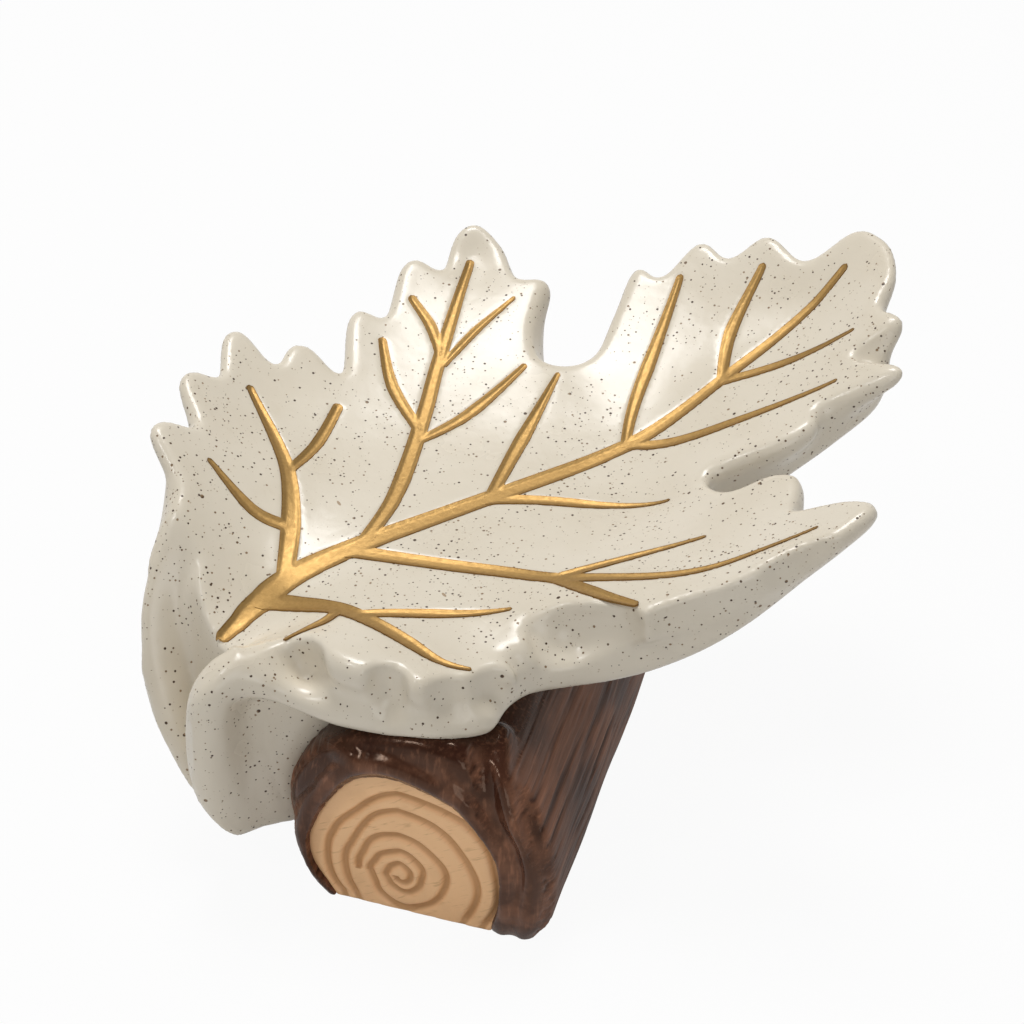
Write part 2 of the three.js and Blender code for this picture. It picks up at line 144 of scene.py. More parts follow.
# Drain spout, and the apron of clay below it
LIP = (-73, -9, 12)
LIP_THICKNESS = 3
LIP_ROUND = 2.5
SPOUT_BACK_SLOPE = 12
SPOUT_FAR_SLOPE = 2.05
SPOUT_NEAR_SLOPE = 4.5
SPOUT_ROUND = 3
SPOUT_BLEND = 6
SPOUT_EASE = 10                 # how soon the funnel gets gentler beyond the midrib
SPOUT_TURN = 5                  # how gently it turns into the far wall there
SPOUT_GENTLER = 0.55            # share of its back slope that is lost there
APRON_NEAR = 6.5
APRON_FAR = 17
APRON_DEPTH = 18
APRON_FLARE = 0.15
APRON_OUTER_RISE = 1.5
APRON_INNER_RISE = 0.1
APRON_WALL_SLOPE = 6
APRON_BLEND = 5

# Rolled rims of the spout: a thickness, how softly it joins, and a route in x, y and z
SPOUT_ROLLS = [
    (2.9, 3, [(-64, 22.5, 60.5), (-68.4, 16.9, 55.5), (-75.3, 11, 44.5), (-77.2, 4.2, 31),
              (-75.5, -1.8, 18.8), (-71.8, -8, 12)]),
    (3.6, 3, [(-65, -15.5, 46.5), (-69, -15.5, 46.5), (-73.5, -15, 46.4), (-76.5, -14.8, 43),
              (-77.5, -14.5, 38), (-77.7, -13.6, 31), (-76.7, -12.4, 23.5), (-74.2, -11, 16),
              (-70.5, -9.8, 11.5)]),
    (2.1, 5, [(-70.5, -16.5, 47.5), (-68, -19.5, 46), (-65.5, -21.5, 44.5), (-62.8, -24.5, 43.3),
              (-60, -28, 42.8), (-56.8, -31, 42.5), (-53, -34.5, 42.3), (-49, -38.5, 42.2),
              (-44, -41.8, 42.2), (-38, -43.8, 42.2)]),
]

# Scoops pressed into the near wall: a radius, and the route of the tool in x, y and z
SCOOP_BLEND = 2
SCOOPS = [
    (7, [(-66, -24, 51.8), (-65.4, -24.2, 48.8)]),
    (3.5, [(-53.4, -38.4, 52), (-53.2, -38.2, 44)]),
    (6, [(-44.4, -48, 52), (-44.4, -48, 45)]),
    (4.5, [(-36.5, -47.5, 51), (-36, -47, 46.5)]),
    (7, [(-21.5, -46, 54.5), (-17, -51.5, 57)]),
    (7, [(-9, -61, 59.5), (-4, -63.6, 61.5), (2, -67.3, 64)]),
    (7, [(9.5, -68.7, 68), (14, -69.8, 70)]),
]

FORK_FILLET = 1                 # rounding between the veins at a fork
STROKE_ROOM = 3                 # how far round a stroke its gold is worked out
STROKE_STEPS = 24               # points between two corners of a stroke
ROUND_END_STEPS = 10            # points in the round end of a stroke
LEAST_END = 0.002               # keeps that end from closing to a point
BED_REACH = (84, 70)            # half the length and width of the sheet that the gold lies on
BED_GRAIN = 0.3
BED_BORDER = 1.2                # how far it reaches past the gold
BRUSH_POINTS = 15               # points across the gold
BRUSH_HEIGHT = 20               # above the dish, from where the gold is laid down
GOLD_LIFT = 0.06                # gold above its bed
GOLD_STAGGER = 0.012            # each vein above the one before it, so that forks are clean
SHARP_FOLD = 0.6                # edges of the gold that turn by more are sharp

# Vein strokes from above, with widths at even steps along them: the first of a node is its main vein
VEINS = {
    "vein_midrib": [((2, 4.6, 4.2, 3.8, 3.6, 3.4, 3.2, 3, 2.8, 2.4, 2.2, 1.8, 1.1),
                     [(-69.2, -4.5), (-68, -3.8), (-65, -2.5), (-60, -0.9), (-45, 0), (20, 0), (73, 0)])],
    "vein_left_basal": [
        ((2.8, 3.2, 2.6, 2, 1), [(-54, 0), (-47, 11), (-42, 22), (-40, 32), (-39, 44)]),
        ((1.2, 1.8, 1.5), [(-41, 23), (-33, 28), (-24, 36)]),
        ((2, 1.8, 0.6), [(-48, 10), (-53, 15), (-56.5, 25)]),
    ],
    "vein_left_lateral": [
        ((2, 2.8, 2.6, 2.2, 1.2), [(-38, 0), (-26, 9), (-9, 27.5), (1, 39), (20, 59)]),
        ((1.8, 2, 1.2), [(-12, 24), (-11, 37), (-7, 48.5)]),
        ((1.6, 1.8, 1.2), [(2, 40), (4, 48), (4, 55.5)]),
        ((1.2, 1.3, 0.3), [(1, 37.5), (12, 42), (22, 44.3)]),
        ((1.4, 2, 0.7), [(-14, 21.5), (-2, 23), (15, 28.5)]),
    ],
    "vein_left_inner": [((1.8, 2.4, 0.5), [(-10, 0), (2, 10), (20, 23.5)])],
    "vein_left_upper": [((1.4, 2.4, 1), [(21, 0), (31, 10.5), (52, 27)])],
    "vein_left_tip": [((1.6, 2.2, 1.1), [(44, 0), (52.5, 9), (64, 15)])],
    "vein_right_tip": [((1.5, 1.5, 0.2), [(43, 0), (52, -7), (63, -16)])],
    "vein_right_upper": [((2, 1.7, 0.2), [(22, 0), (30, -7.5), (53, -24)])],
    "vein_right_inner": [((2.2, 2, 0.2), [(-11, 0), (1, -7.5), (17, -21)])],
    "vein_right_lateral": [
        ((2.6, 2.6, 2.2, 1.2, 0.1), [(-41, 0), (-22, -19.5), (-12, -34), (3, -50.5), (21, -60)]),
        ((2, 1.6, 0.2), [(-14, -31), (1, -36), (11, -41)]),
        ((2, 2, 0.8), [(-14.5, -31), (-12.5, -42), (-10, -50)]),
    ],
    "vein_right_basal": [
        ((2.4, 3, 2.8, 2.4, 0.3), [(-59.5, 0), (-55, -6), (-50.2, -14), (-47.5, -22.5), (-45, -30),
                                   (-42.3, -37.5), (-38.7, -41.6)]),
        ((2, 1.8, 0.1), [(-48.5, -18.5), (-38.6, -23.8), (-30.9, -28.4), (-24.8, -32.3)]),
        ((1.6, 1.8, 0.6), [(-50, -14.5), (-54, -16.5), (-58, -16.8), (-61.8, -16.6)]),
    ],
}

# Half log in its own frame: u along it from front to rear, v to its left, z up
LOG_PLACE = (-15.1, -9.8)
LOG_TURN = math.radians(43.5)
LOG_HEADING = (math.cos(LOG_TURN), math.sin(LOG_TURN), 0)
LOG_LENGTH = 95
LOG_WIDTH = 52
LOG_WIDEST = 14
LOG_SECTION = [
    (-20, 0), (16, 0), (19.6, 1.2), (22, 4.5), (24.3, 9.5), (25.8, 15), (26.3, 20.5), (25.6, 25.2), (23, 30),
    (18.6, 34.6), (10.5, 38.8), (0, 41), (-9, 39.5), (-16.5, 34.5), (-22, 26.5), (-24.7, 17), (-24.8, 8),
    (-23.5, 2),
]
FRONT_TILT = 0.06               # how much the front end is cut askew
FRONT_REACH = 1                 # how far it stands out past the log's length
SADDLE_LENGTH = 64
SADDLE_WIDTH = 24
SADDLE_SIDE = 1.5
SADDLE_DROP = 7
SADDLE_BLEND = 3
LOG_SINK = 0.4                  # how far the leaf's clay reaches into the log
LOG_SINK_BLEND = 0.8
BARK_SWELL = 0.3                # unevenness of the log
STRAND_BLEND = 1.2
FURROW_BLEND = 2.2
SOCKET_ROUND = 0.5
SOCKET_LIP = 0.6
VENT_PLACE = 20                 # along the log
VENT_DEPTH = 9
FACE_OVERLAP = 0.4              # how far a face reaches into the bark round it
FACE_ROUND = 0.8
FACE_LIFT = 0.1
BARK_GRAIN = 0.5                # spacing of the bark's modelling grid
BARK_ROOM = (5, 4, 1.5)         # that grid past the log in front, behind and at the sides
PROUD_REACH = 2                 # past the log's length, where a strand's crest is worn
FACE_GRAIN = 0.32               # spacing of a face's modelling grid
FACE_ROOM = (1, 3)              # that grid past the socket's floor and the log's end

# End grain: its outline and the spiral cut into it, as v and z on the end of the log
GRAIN_OUTLINE = [
    (-12, -4), (12.6, -4), (19.1, 3.6), (21.5, 8), (21.9, 12.5), (20.3, 17.8), (16.2, 25), (11.8, 29.5),
    (6.2, 31.3), (0.5, 30.4), (-6, 28), (-11.3, 23.8), (-14.4, 19), (-15.3, 13.5), (-14.7, 7), (-13, 1),
]
HEART = (4.4, 8)
# Reach of the outermost ring from the heart, each 30 degrees from the left downwards
RING_REACH = [16.6, 15.6, 17, 18, 19.5, 19.6, 20.9, 22, 21.8, 22.3, 19.1, 16.9]
SPIRAL = [0.05, 0.09, 0.17, 0.2, 0.35, 0.41, 0.5]       # shares of that reach at each half turn
LOOPS = [(0.66, 0.71), (0.85, 0.92)]                    # shares left and right of each closed ring
RING_WAVES = [(0.03, 3, 2.1), (0.015, 7, 1.3)]          # share, waves in a turn, and shift from ring to ring
RING_FLOOR = 0.1                # half the width of the ring's flat floor
RING_FADE = 2                   # height over which the rings deepen above the ground
HAIR_SLANT = 0.5                # how far the fine hairs lean, in radians

# Bark strands at the front end: thickness, and a route in u, v and z
STRANDS = [
    (2.2, [(-40, 1, 38.5), (-45, -4, 35.5), (-47, -7.5, 31.5), (-47.4, -11.5, 27.2), (-47.5, -15, 22.5),
           (-47.5, -16.8, 17), (-47, -16.4, 9), (-44.5, -15, -1)]),
    (2.1, [(-36, -12, 37), (-43.5, -14.5, 33.5), (-46.8, -17.2, 28), (-47.3, -19.8, 23), (-47.4, -21.2, 17),
           (-46.8, -20.6, 9), (-44.5, -19, -1)]),
    (2.0, [(-45.5, 17.5, 1), (-46.5, 20.6, 6), (-47, 22.6, 14), (-47.3, 21.4, 20.5), (-47.2, 17.4, 27.5),
           (-47.2, 12.8, 32.4), (-47.2, 6.4, 34.6), (-47.2, 0, 33.6), (-47.2, -6, 31.4)]),
    (1.5, [(-42, 18.5, 32.5), (-45.5, 15.5, 34), (-47, 12.5, 34.5)]),
]
# Furrows between the strands, in the same way
FURROWS = [
    (1.6, [(-43.5, -11, 39), (-47.4, -12.6, 33.4), (-49.1, -14.4, 28), (-49.8, -17.1, 22.6),
           (-50, -18.8, 16.5), (-50.6, -18.4, 10), (-53, -17, 5)]),
    (1.5, [(-45, -20, 31.4), (-48, -21.9, 24.5), (-49.2, -23, 18), (-49.8, -22.8, 10), (-52, -21.5, 5)]),
]

# Stage: where the camera and lamps aim, and each lamp's place and size in metres
AIM = Vector((-5, 0, 50)) * MM
TOP_BOX = ((0.08, 0.31, 1.0), 0.4)
FRONT_BOX = ((-0.4, -0.85, 0.45), 0.45)
LEFT_LAMP = ((-0.62, 0.0, 0.78), 0.13)
WARM_WHITE = (1, 0.985, 0.965, 1)
FLOOR_REACH = 3
FLOOR_GAP = 0.05 * MM           # keeps the floor just below the log's flat side
FLOOR_MIRRORED = 0.5            # how white the floor is in reflections
SKY_MIRRORED = 0.6              # and the sky near the horizon
OVERHEAD_DIMMED = 0.6           # how much of the room's light reflections lose overhead
OVERHEAD = (0.15, 0.6)          # heights between which the sky turns from horizon to overhead
FLOOR_GREY = (0.7, 0.7, 0.7, 1)


# Sizes and colours that a user may change

def length(name, description, millimetres):
    """A length property, given in millimetres."""
    return FloatProperty(name=name, description=description, default=millimetres * MM, min=0,
                         subtype="DISTANCE", unit="LENGTH", precision=5)


def colour(name, description, red, green, blue):
    """A colour property in linear light."""
    return FloatVectorProperty(name=name, description=description, default=(red, green, blue), size=3,
                               min=0, max=1, subtype="COLOR")


def angle(name, description, degrees):
    """An angle property, given in degrees."""
    return FloatProperty(name=name, description=description, default=math.radians(degrees), subtype="ANGLE",
                         unit="ROTATION")


def strength(name, description, amount):
    """The strength of a light."""
    return FloatProperty(name=name, description=description, default=amount, min=0)


class LeafSizes(PropertyGroup):
    """Clay of the leaf."""
    thickness: length("Thickness", "Clay above the log under the bowl's floor", 13.5)
    rim: length("Rim rounding", "How softly the upper side turns into the wall", 2.6)
    edge: length("Lower rounding", "How softly the wall turns into the underside", 4)
    swell: length("Swell", "How far the wall swells past the margin, before it is rounded", 0.1)
    lift: length("Rim lift", "How far the rim rises past its drawn height, before it is rounded", 1.1)
    tooth: length("Tooth rounding", "How softly the teeth are rounded off", 1.1)
    flare: length("Flare", "How far the wall spreads below the rim", 1.2)
    flute_start: length("Flute start", "Depth below the rim where the teeth begin to fade", 2)
    flute_end: length("Flute end", "Depth below the rim where the teeth are gone", 9.5)
    grain: length("Clay grain", "Spacing of the clay's modelling grid", 0.74)


class VeinSizes(PropertyGroup):
    """Gold veins and their grooves."""
    groove: length("Groove depth", "Depth of the gold below the leaf's upper side", 0.3)
    wall: length("Groove wall", "Width over which the groove falls to its full depth", 1)
    bed: length("Bed", "Clay cut away below the gold", 0.45)
    margin: length("Margin", "Gold painted past each drawn stroke", 0.3)
    film: length("Film", "Thickness of the gold", 0.4)
    step: length("Step", "Spacing of the gold's rows", 0.3)


class LogSizes(PropertyGroup):
    """Bark and end grain of the log."""
    end_round: length("End rounding", "How softly the bark turns over the ends", 5)
    socket: length("Socket", "Depth of the socket that holds an end grain face", 4)
    recess: length("Recess", "End grain below the bark's end", 0.7)
    plate: length("Face thickness", "Thickness of an end grain face", 3.4)
    ring: length("Ring depth", "Depth of the carved spiral", 1)
    ring_width: length("Ring width", "Half the width of the carved spiral", 1.25)
    streak: length("Streak depth", "Depth of the bark's grooves", 0.75)
    streak_width: length("Streak width", "Spacing of the bark's grooves", 2.4)
    streak_run: length("Streak run", "Length of the bark's grooves", 60)
    vent: length("Vent", "Diameter of the vent below", 8)
    seed: IntProperty(name="Seed", description="Chooses another bark", default=7)


class Finishes(PropertyGroup):
    """Glaze and lustre colours."""
    cream: colour("Cream", "Glaze of the leaf", 0.73, 0.665, 0.55)
    cream_shade: colour("Cream shade", "Thicker, cooler glaze", 0.65, 0.575, 0.45)
    speck: colour("Speck", "Iron specks", 0.06, 0.029, 0.011)
    fleck: colour("Fleck", "Faint tan specks", 0.33, 0.22, 0.12)
    gold: colour("Gold", "Lustre in the grooves", 0.47, 0.29, 0.1)
    gold_edge: colour("Gold edge", "Brown line at the lustre's edge", 0.27, 0.15, 0.045)
    bark: colour("Bark", "Pooled brown glaze", 0.031, 0.009, 0.005)
    ridge: colour("Bark ridge", "Thin glaze over the bark's ridges", 0.26, 0.115, 0.065)
    tan: colour("End grain", "Stain of the end grain", 0.92, 0.57, 0.3)
    ring: colour("End grain ring", "Stain in the carved rings", 0.42, 0.21, 0.075)
    slip: colour("Slip", "Unglazed fired clay", 0.50, 0.44, 0.35)


class StageSizes(PropertyGroup):
    """Camera and light."""
    turn: angle("Turn", "Camera's turn round the dish", 31)
    tilt: angle("Tilt", "Camera's tilt below the horizon", 33)
    field: angle("Field", "Camera's field of view", 26)
    distance: length("Distance", "Camera to the dish", 431.5)
    key: strength("Key", "Power of the soft box above and behind in watts", 6.5)
    fill: strength("Fill", "Power of the soft box in front in watts", 1.2)
    glint: strength("Glint", "Power of the small lamp at the left in watts", 1.1)
    sky: strength("Sky", "Strength of the room's own light", 0.33)
    shadow: FloatProperty(name="Shadow", description="How much of its shadow the white floor keeps",
                          default=0.06, min=0, max=1, subtype="FACTOR")


class SoapDishSettings(PropertyGroup):
    """Everything that a user may change."""
    leaf: PointerProperty(type=LeafSizes)
    veins: PointerProperty(type=VeinSizes)
    log: PointerProperty(type=LogSizes)
    finishes: PointerProperty(type=Finishes)
    stage: PointerProperty(type=StageSizes)


def in_mm(group):
    """The lengths of a group in millimetres, by name."""
    return {name: getattr(group, name) / MM for name in group.__annotations__
            if isinstance(getattr(group, name), float)}


# Soft joins of distances

def smooth_max(a, b, blend):
    share = np.clip(0.5 + 0.5 * (a - b) / blend, 0, 1)
    return b + (a - b) * share + blend * share * (1 - share)


def smooth_min(a, b, blend):
    return -smooth_max(-a, -b, blend)


def smooth_step(low, high, value):
    t = np.clip((value - low) / (high - low), 0, 1)
    return t * t * (3 - 2 * t)


# Outlines, lines, strands and bent plates

def rounded_outline(points, steps=6):
    """A closed smooth outline through points, even where they crowd."""
    corners = np.array(points, float)
    ring = [np.roll(corners, shift, axis=0) for shift in (1, 0, -1, -2)]
    gaps = [np.sqrt(np.linalg.norm(b - a, axis=1))[:, None] for a, b in zip(ring, ring[1:])]
    leave = (ring[1] - ring[0]) / gaps[0] - (ring[2] - ring[0]) / (gaps[0] + gaps[1])
    leave = (leave + (ring[2] - ring[1]) / gaps[1]) * gaps[1]
    arrive = (ring[2] - ring[1]) / gaps[1] - (ring[3] - ring[1]) / (gaps[1] + gaps[2])
    arrive = (arrive + (ring[3] - ring[2]) / gaps[2]) * gaps[1]
    rows = [hermite(ring[1], ring[2], leave, arrive, t) for t in np.arange(steps) / steps]
    return np.stack(rows, axis=1).reshape(-1, corners.shape[1])


def smooth_line(points, steps=12):
    """An open smooth line through points."""
    corners = np.array(points, float)
    padded = np.vstack([corners[:1], corners, corners[-1:]])
    slopes = (padded[2:] - padded[:-2]) / 2
    rows = [hermite(corners[:-1], corners[1:], slopes[:-1], slopes[1:], t) for t in np.arange(steps) / steps]
    return np.vstack([np.stack(rows, axis=1).reshape(-1, corners.shape[1]), corners[-1:]])


def hermite(start, end, leave, arrive, t):
    """A point on a smooth curve between two points with given slopes."""
    return (start * (2 * t ** 3 - 3 * t ** 2 + 1) + leave * (t ** 3 - 2 * t ** 2 + t)
            + end * (3 * t ** 2 - 2 * t ** 3) + arrive * (t ** 3 - t ** 2))


def outline_distance(x, y, outline):
    """Distance to a closed outline, negative inside it."""
    nearest = np.full(x.shape, FAR ** 2)
    inside = np.zeros(x.shape, bool)
    for (ax, ay), (bx, by) in zip(outline, np.roll(outline, -1, axis=0)):
        dx, dy = bx - ax, by - ay
        t = np.clip(((x - ax) * dx + (y - ay) * dy) / (dx * dx + dy * dy), 0, 1)
        np.minimum(nearest, (x - ax - t * dx) ** 2 + (y - ay - t * dy) ** 2, out=nearest)
        if ay != by:
            inside ^= ((ay > y) != (by > y)) & (x < ax + (y - ay) * dx / dy)
    return np.where(inside, -1, 1) * np.sqrt(nearest)


def stroke_depth(x, y, line, halves):
    """How far inside a tapering stroke each spot lies, negative outside it."""
    deepest = np.full(x.shape, -FAR)
    for (ax, ay), (bx, by), start, end in zip(line, line[1:], halves, halves[1:]):
        dx, dy = bx - ax, by - ay
        t = np.clip(((x - ax) * dx + (y - ay) * dy) / (dx * dx + dy * dy), 0, 1)
        gap = np.hypot(x - ax - t * dx, y - ay - t * dy)
        np.maximum(deepest, start + (end - start) * t - gap, out=deepest)
    return deepest


def strand_distance(u, v, z, route, thickness):
    """Distance to a round strand along a route in space."""
    nearest = np.full(np.broadcast_shapes(u.shape, v.shape, z.shape), FAR ** 2, np.float32)
    for a, b in zip(route, route[1:]):
        along = b - a
        share = sum((p - q) * d for p, q, d in zip((u, v, z), a, along)) / (along @ along)
        t = np.clip(share, 0, 1)
        square = sum((p - q - t * d) ** 2 for p, q, d in zip((u, v, z), a, along))
        np.minimum(nearest, square, out=nearest)
    return np.sqrt(nearest) - thickness


def strand_nearby(grid, route, thickness, blend):
    """The part of a grid that a strand can change, and the distance to the strand there."""
    reach = thickness + 2 * blend
    part = []
    for axis, stops in zip(grid, route.T):
        places = axis.ravel()
        near = np.flatnonzero((places > stops.min() - reach) & (places < stops.max() + reach))
        part.append(slice(near[0], near[-1] + 1))
    x, y, z = grid
    i, j, k = part
    return (i, j, k), strand_distance(x[i], y[:, j], z[:, :, k], route, thickness)


def join_strand(clay, grid, route, thickness, blend):
    """Joins a round strand to clay."""
    part, strand = strand_nearby(grid, route, thickness, blend)
    clay[part] = smooth_min(clay[part], strand, blend)


def carve_strand(clay, grid, route, thickness, blend):
    """Carves a round strand out of clay."""
    part, strand = strand_nearby(grid, route, thickness, blend)
    clay[part] = smooth_max(clay[part], -strand, blend)


def softened(plan, spread, grain):
    """A distance over the plan, averaged over soft discs so that its corners are rounded."""
    reach = int(3 * spread / grain)
    taps = np.exp(-0.5 * (np.arange(-reach, reach + 1) * grain / spread) ** 2)
    taps /= taps.sum()
    for axis in (0, 1):
        plan = np.apply_along_axis(lambda row: np.convolve(np.pad(row, reach, "edge"), taps, "valid"),
                                   axis, plan)
    return plan


def bent_plate(posts, stiffness):
    """A thin plate bent through posts of x, y and height; returns its height over the plan."""
    posts = np.array(posts, float)
    count = len(posts)

    def sag(dx, dy):
        square = dx * dx + dy * dy
        return 0.5 * square * np.log(np.maximum(square, 1e-9))

    system = np.zeros((count + 3, count + 3))
    system[:count, :count] = sag(posts[:, None, 0] - posts[:, 0], posts[:, None, 1] - posts[:, 1])
    system[:count, :count] += stiffness * np.eye(count)
    system[:count, count:] = np.c_[np.ones(count), posts[:, :2]]
    system[count:, :count] = system[:count, count:].T
    weights = np.linalg.solve(system, np.r_[posts[:, 2], 0, 0, 0])
    level, tilt_x, tilt_y = weights[count:]

    def height(x, y):
        total = level + tilt_x * x + tilt_y * y
        for (px, py, _), weight in zip(posts, weights):
            total = total + weight * sag(x - px, y - py)
        return total
    return height


# Forms shared by several pieces

class LeafForm:
    """Surfaces of the leaf over its plan, in millimetres."""

    def __init__(self, sizes, veins):
        self.veins = veins
        self.floor = CROWN + sizes["thickness"]
        rim = [(x, y, rise + sizes["lift"]) for x, y, rise in MARGIN]
        self.plate = bent_plate(rim + BOWL, BOWL_STIFFNESS)
        self.dish = bent_plate(UNDERSIDE, BOWL_STIFFNESS)
        self.margin = rounded_outline([(x, y) for x, y, _ in MARGIN])
        self.lower_edge = rounded_outline(LOWER_EDGE)

    def upper(self, x, y):
        """Height of the bowl, which falls into the spout's funnel."""
        beyond = smooth_step(0, SPOUT_EASE, y)
        inward = x - LIP[0]
        inward = (inward + np.hypot(inward, SPOUT_TURN * beyond)) / 2
        back = SPOUT_BACK_SLOPE * (1 - SPOUT_GENTLER * beyond) * inward
        side = np.where(y > LIP[1], SPOUT_FAR_SLOPE, SPOUT_NEAR_SLOPE) * (y - LIP[1])
        funnel = LIP[2] + np.sqrt(back ** 2 + side ** 2 + SPOUT_ROUND ** 2) - SPOUT_ROUND
        return smooth_min(self.floor + self.plate(x, y), funnel, SPOUT_BLEND * (1 + beyond))

    def apron(self, x, y):
        """Height of the clay's lower side round the lip, which climbs away from it."""
        dx, dy = x - LIP[0], y - LIP[1]
        flare = APRON_FLARE * dx
        outside = (np.maximum(0, -dy - APRON_NEAR - flare) + np.maximum(0, dy - APRON_FAR - flare)
                   + np.maximum(0, dx - APRON_DEPTH))
        climb = np.hypot(dx * np.where(dx > 0, APRON_INNER_RISE, APRON_OUTER_RISE),
                         dy * np.where(dy < 0, APRON_INNER_RISE, APRON_OUTER_RISE))
        climb = np.hypot(climb, LIP_ROUND) - LIP_ROUND
        return LIP[2] - LIP_THICKNESS + climb + APRON_WALL_SLOPE * outside

    def underside(self, x, y, upper):
        """Height of the leaf's lower side."""
        below = smooth_min(self.dish(x, y), self.apron(x, y), APRON_BLEND)
        return np.minimum(below, upper - LIP_THICKNESS)

    def gold_depth(self, x, y):
        """How far inside the gold each spot lies, with filleted forks."""
        depth = np.full(x.shape, -FAR)
        for strokes in VEINS.values():
            for widths, points in strokes:
                line = smooth_line(points)
                halves = half_widths(line, widths, self.veins["margin"])
                reach = max(widths) + STROKE_ROOM
                near = ((x > line[:, 0].min() - reach) & (x < line[:, 0].max() + reach)
                        & (y > line[:, 1].min() - reach) & (y < line[:, 1].max() + reach))
                cut = stroke_depth(x[near], y[near], line, halves)
                depth[near] = smooth_max(depth[near], cut, FORK_FILLET)
        return depth

    def groove(self, depth):
        """How far the gold lies below the bowl."""
        return self.veins["groove"] * smooth_step(0, self.veins["wall"], depth)


def half_widths(line, widths, margin):
    """Half the gold's width at each point of a line, from widths at even steps along it."""
    run = np.r_[0, np.cumsum(np.linalg.norm(np.diff(line, axis=0), axis=1))]
    return np.interp(run / run[-1], np.linspace(0, 1, len(widths)), widths) / 2 + margin


def to_log(x, y):
    """Plan coordinates along and across the log."""
    dx, dy = x - LOG_PLACE[0], y - LOG_PLACE[1]
    c, s, _ = LOG_HEADING
    return c * dx + s * dy, c * dy - s * dx


def log_guard(x, y, z):
    """Rough distance to the log, for what rests on it."""
    u, v = to_log(x, y)
    half = LOG_WIDTH / 2
    arch = half * (np.hypot(v / half, (z - LOG_WIDEST) / (CROWN - LOG_WIDEST)) - 1)
    section = np.where(z > LOG_WIDEST, arch, np.abs(v) - half)
    return np.maximum(section, np.abs(u) - LOG_LENGTH / 2)


# Meshes

def add_object(name, data):
    """A new object in the scene."""
    made = bpy.data.objects.new(name, data)
    bpy.context.scene.collection.objects.link(made)
    return made


def mesh_object(name, points, faces):
    """A smooth shaded object from points in millimetres and faces of four corners."""
    mesh = bpy.data.meshes.new(name)
    corners = faces.shape[1]
    mesh.vertices.add(len(points))
    mesh.vertices.foreach_set("co", (np.asarray(points) * MM).astype(np.float32).ravel())
    mesh.loops.add(faces.size)
    mesh.loops.foreach_set("vertex_index", faces.astype(np.int32).ravel())
    mesh.polygons.add(len(faces))
    mesh.polygons.foreach_set("loop_start", np.arange(0, faces.size, corners, dtype=np.int32))
    mesh.update(calc_edges=True)
    mesh.shade_smooth()
    return add_object(name, mesh)


def solid_of(name, field, low, high, grain):
    """A closed object where field(x, y, z) is below zero, modelled on a grid of that grain."""
    axes = [np.arange(a - 2 * grain, b + 3 * grain, grain, dtype=np.float32) for a, b in zip(low, high)]
    x, y, z = np.meshgrid(*axes, indexing="ij", sparse=True)
    values = np.ascontiguousarray(field(x, y, z), dtype=np.float32)
    grid = openvdb.FloatGrid(background=float(grain))
    grid.copyFromArray(values)
    points, faces = grid.convertToQuads(isovalue=0.0)
    points = points * grain + np.array([axis[0] for axis in axes])
    return mesh_object(name, points, faces)


def store_values(mesh, name, values):
    """Stores a value for each point of a mesh as an attribute."""
    mesh.attributes.new(name, "FLOAT", "POINT").data.foreach_set("value", np.asarray(values, np.float32))


def store_field(piece, name, field):
    """Stores field(x, y, z) at each point of a piece, in millimetres, as an attribute."""
    spots = np.empty(len(piece.data.vertices) * 3, np.float32)
    piece.data.vertices.foreach_get("co", spots)
    store_values(piece.data, name, field(*(spots.reshape(-1, 3).T / MM)))


def finish_piece(piece, node, material=None):
    """Makes a piece stand for a node of the frame."""
    if material:
        piece.data.materials.clear()
        piece.data.materials.append(material)
    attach(piece, "root")
    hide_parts(node)


# Node trees

def arithmetic(operation, turned=False):
    """A method for an operator of a wire; turned puts the wire last."""
    def method(wire, *others):
        return wire.math(operation, *((*others, wire) if turned else (wire, *others)))
    return method


class Wire:
    """A value in a node tree. Arithmetic on it adds Math nodes."""

    def __init__(self, tree, socket):
        self.tree = tree
        self.socket = socket

    def math(self, operation, *values):
        return add_node(self.tree, "ShaderNodeMath", dict(enumerate(values)), operation=operation)

    __add__ = __radd__ = arithmetic("ADD")
    __mul__ = __rmul__ = arithmetic("MULTIPLY")
    __sub__ = arithmetic("SUBTRACT")
    __rsub__ = arithmetic("SUBTRACT", turned=True)
    __truediv__ = arithmetic("DIVIDE")
    __rtruediv__ = arithmetic("DIVIDE", turned=True)
    __pow__ = arithmetic("POWER")
    __lt__ = arithmetic("LESS_THAN")
    __abs__ = arithmetic("ABSOLUTE")

    def rise(self, low, high):
        """0 below low and 1 above high, smoothly."""
        return add_node(self.tree, "ShaderNodeMapRange", {"Value": self, "From Min": low, "From Max": high},
                        interpolation_type="SMOOTHSTEP")

    def also(self, output):
        """Another output of the same node."""
        return Wire(self.tree, self.socket.node.outputs[output])


def add_node(tree, kind, inputs=None, output=0, **settings):
    """Adds a node, sets it up, joins or fills its sockets and returns one of its outputs."""
    node = tree.nodes.new(kind)
    for name, value in settings.items():
        setattr(node, name, value)
    for key, value in (inputs or {}).items():
        if isinstance(value, Wire):
            tree.links.new(value.socket, node.inputs[key])
        else:
            node.inputs[key].default_value = value
    return Wire(tree, node.outputs[output]) if node.outputs else None


def mix_colours(factor, first, second):
    """A colour between two, which are wires or numbers."""
    rgba = [c if isinstance(c, Wire) else (*c, 1) for c in (first, second)]
    return add_node(factor.tree, "ShaderNodeMix", {0: factor, 6: rgba[0], 7: rgba[1]}, 2, data_type="RGBA")


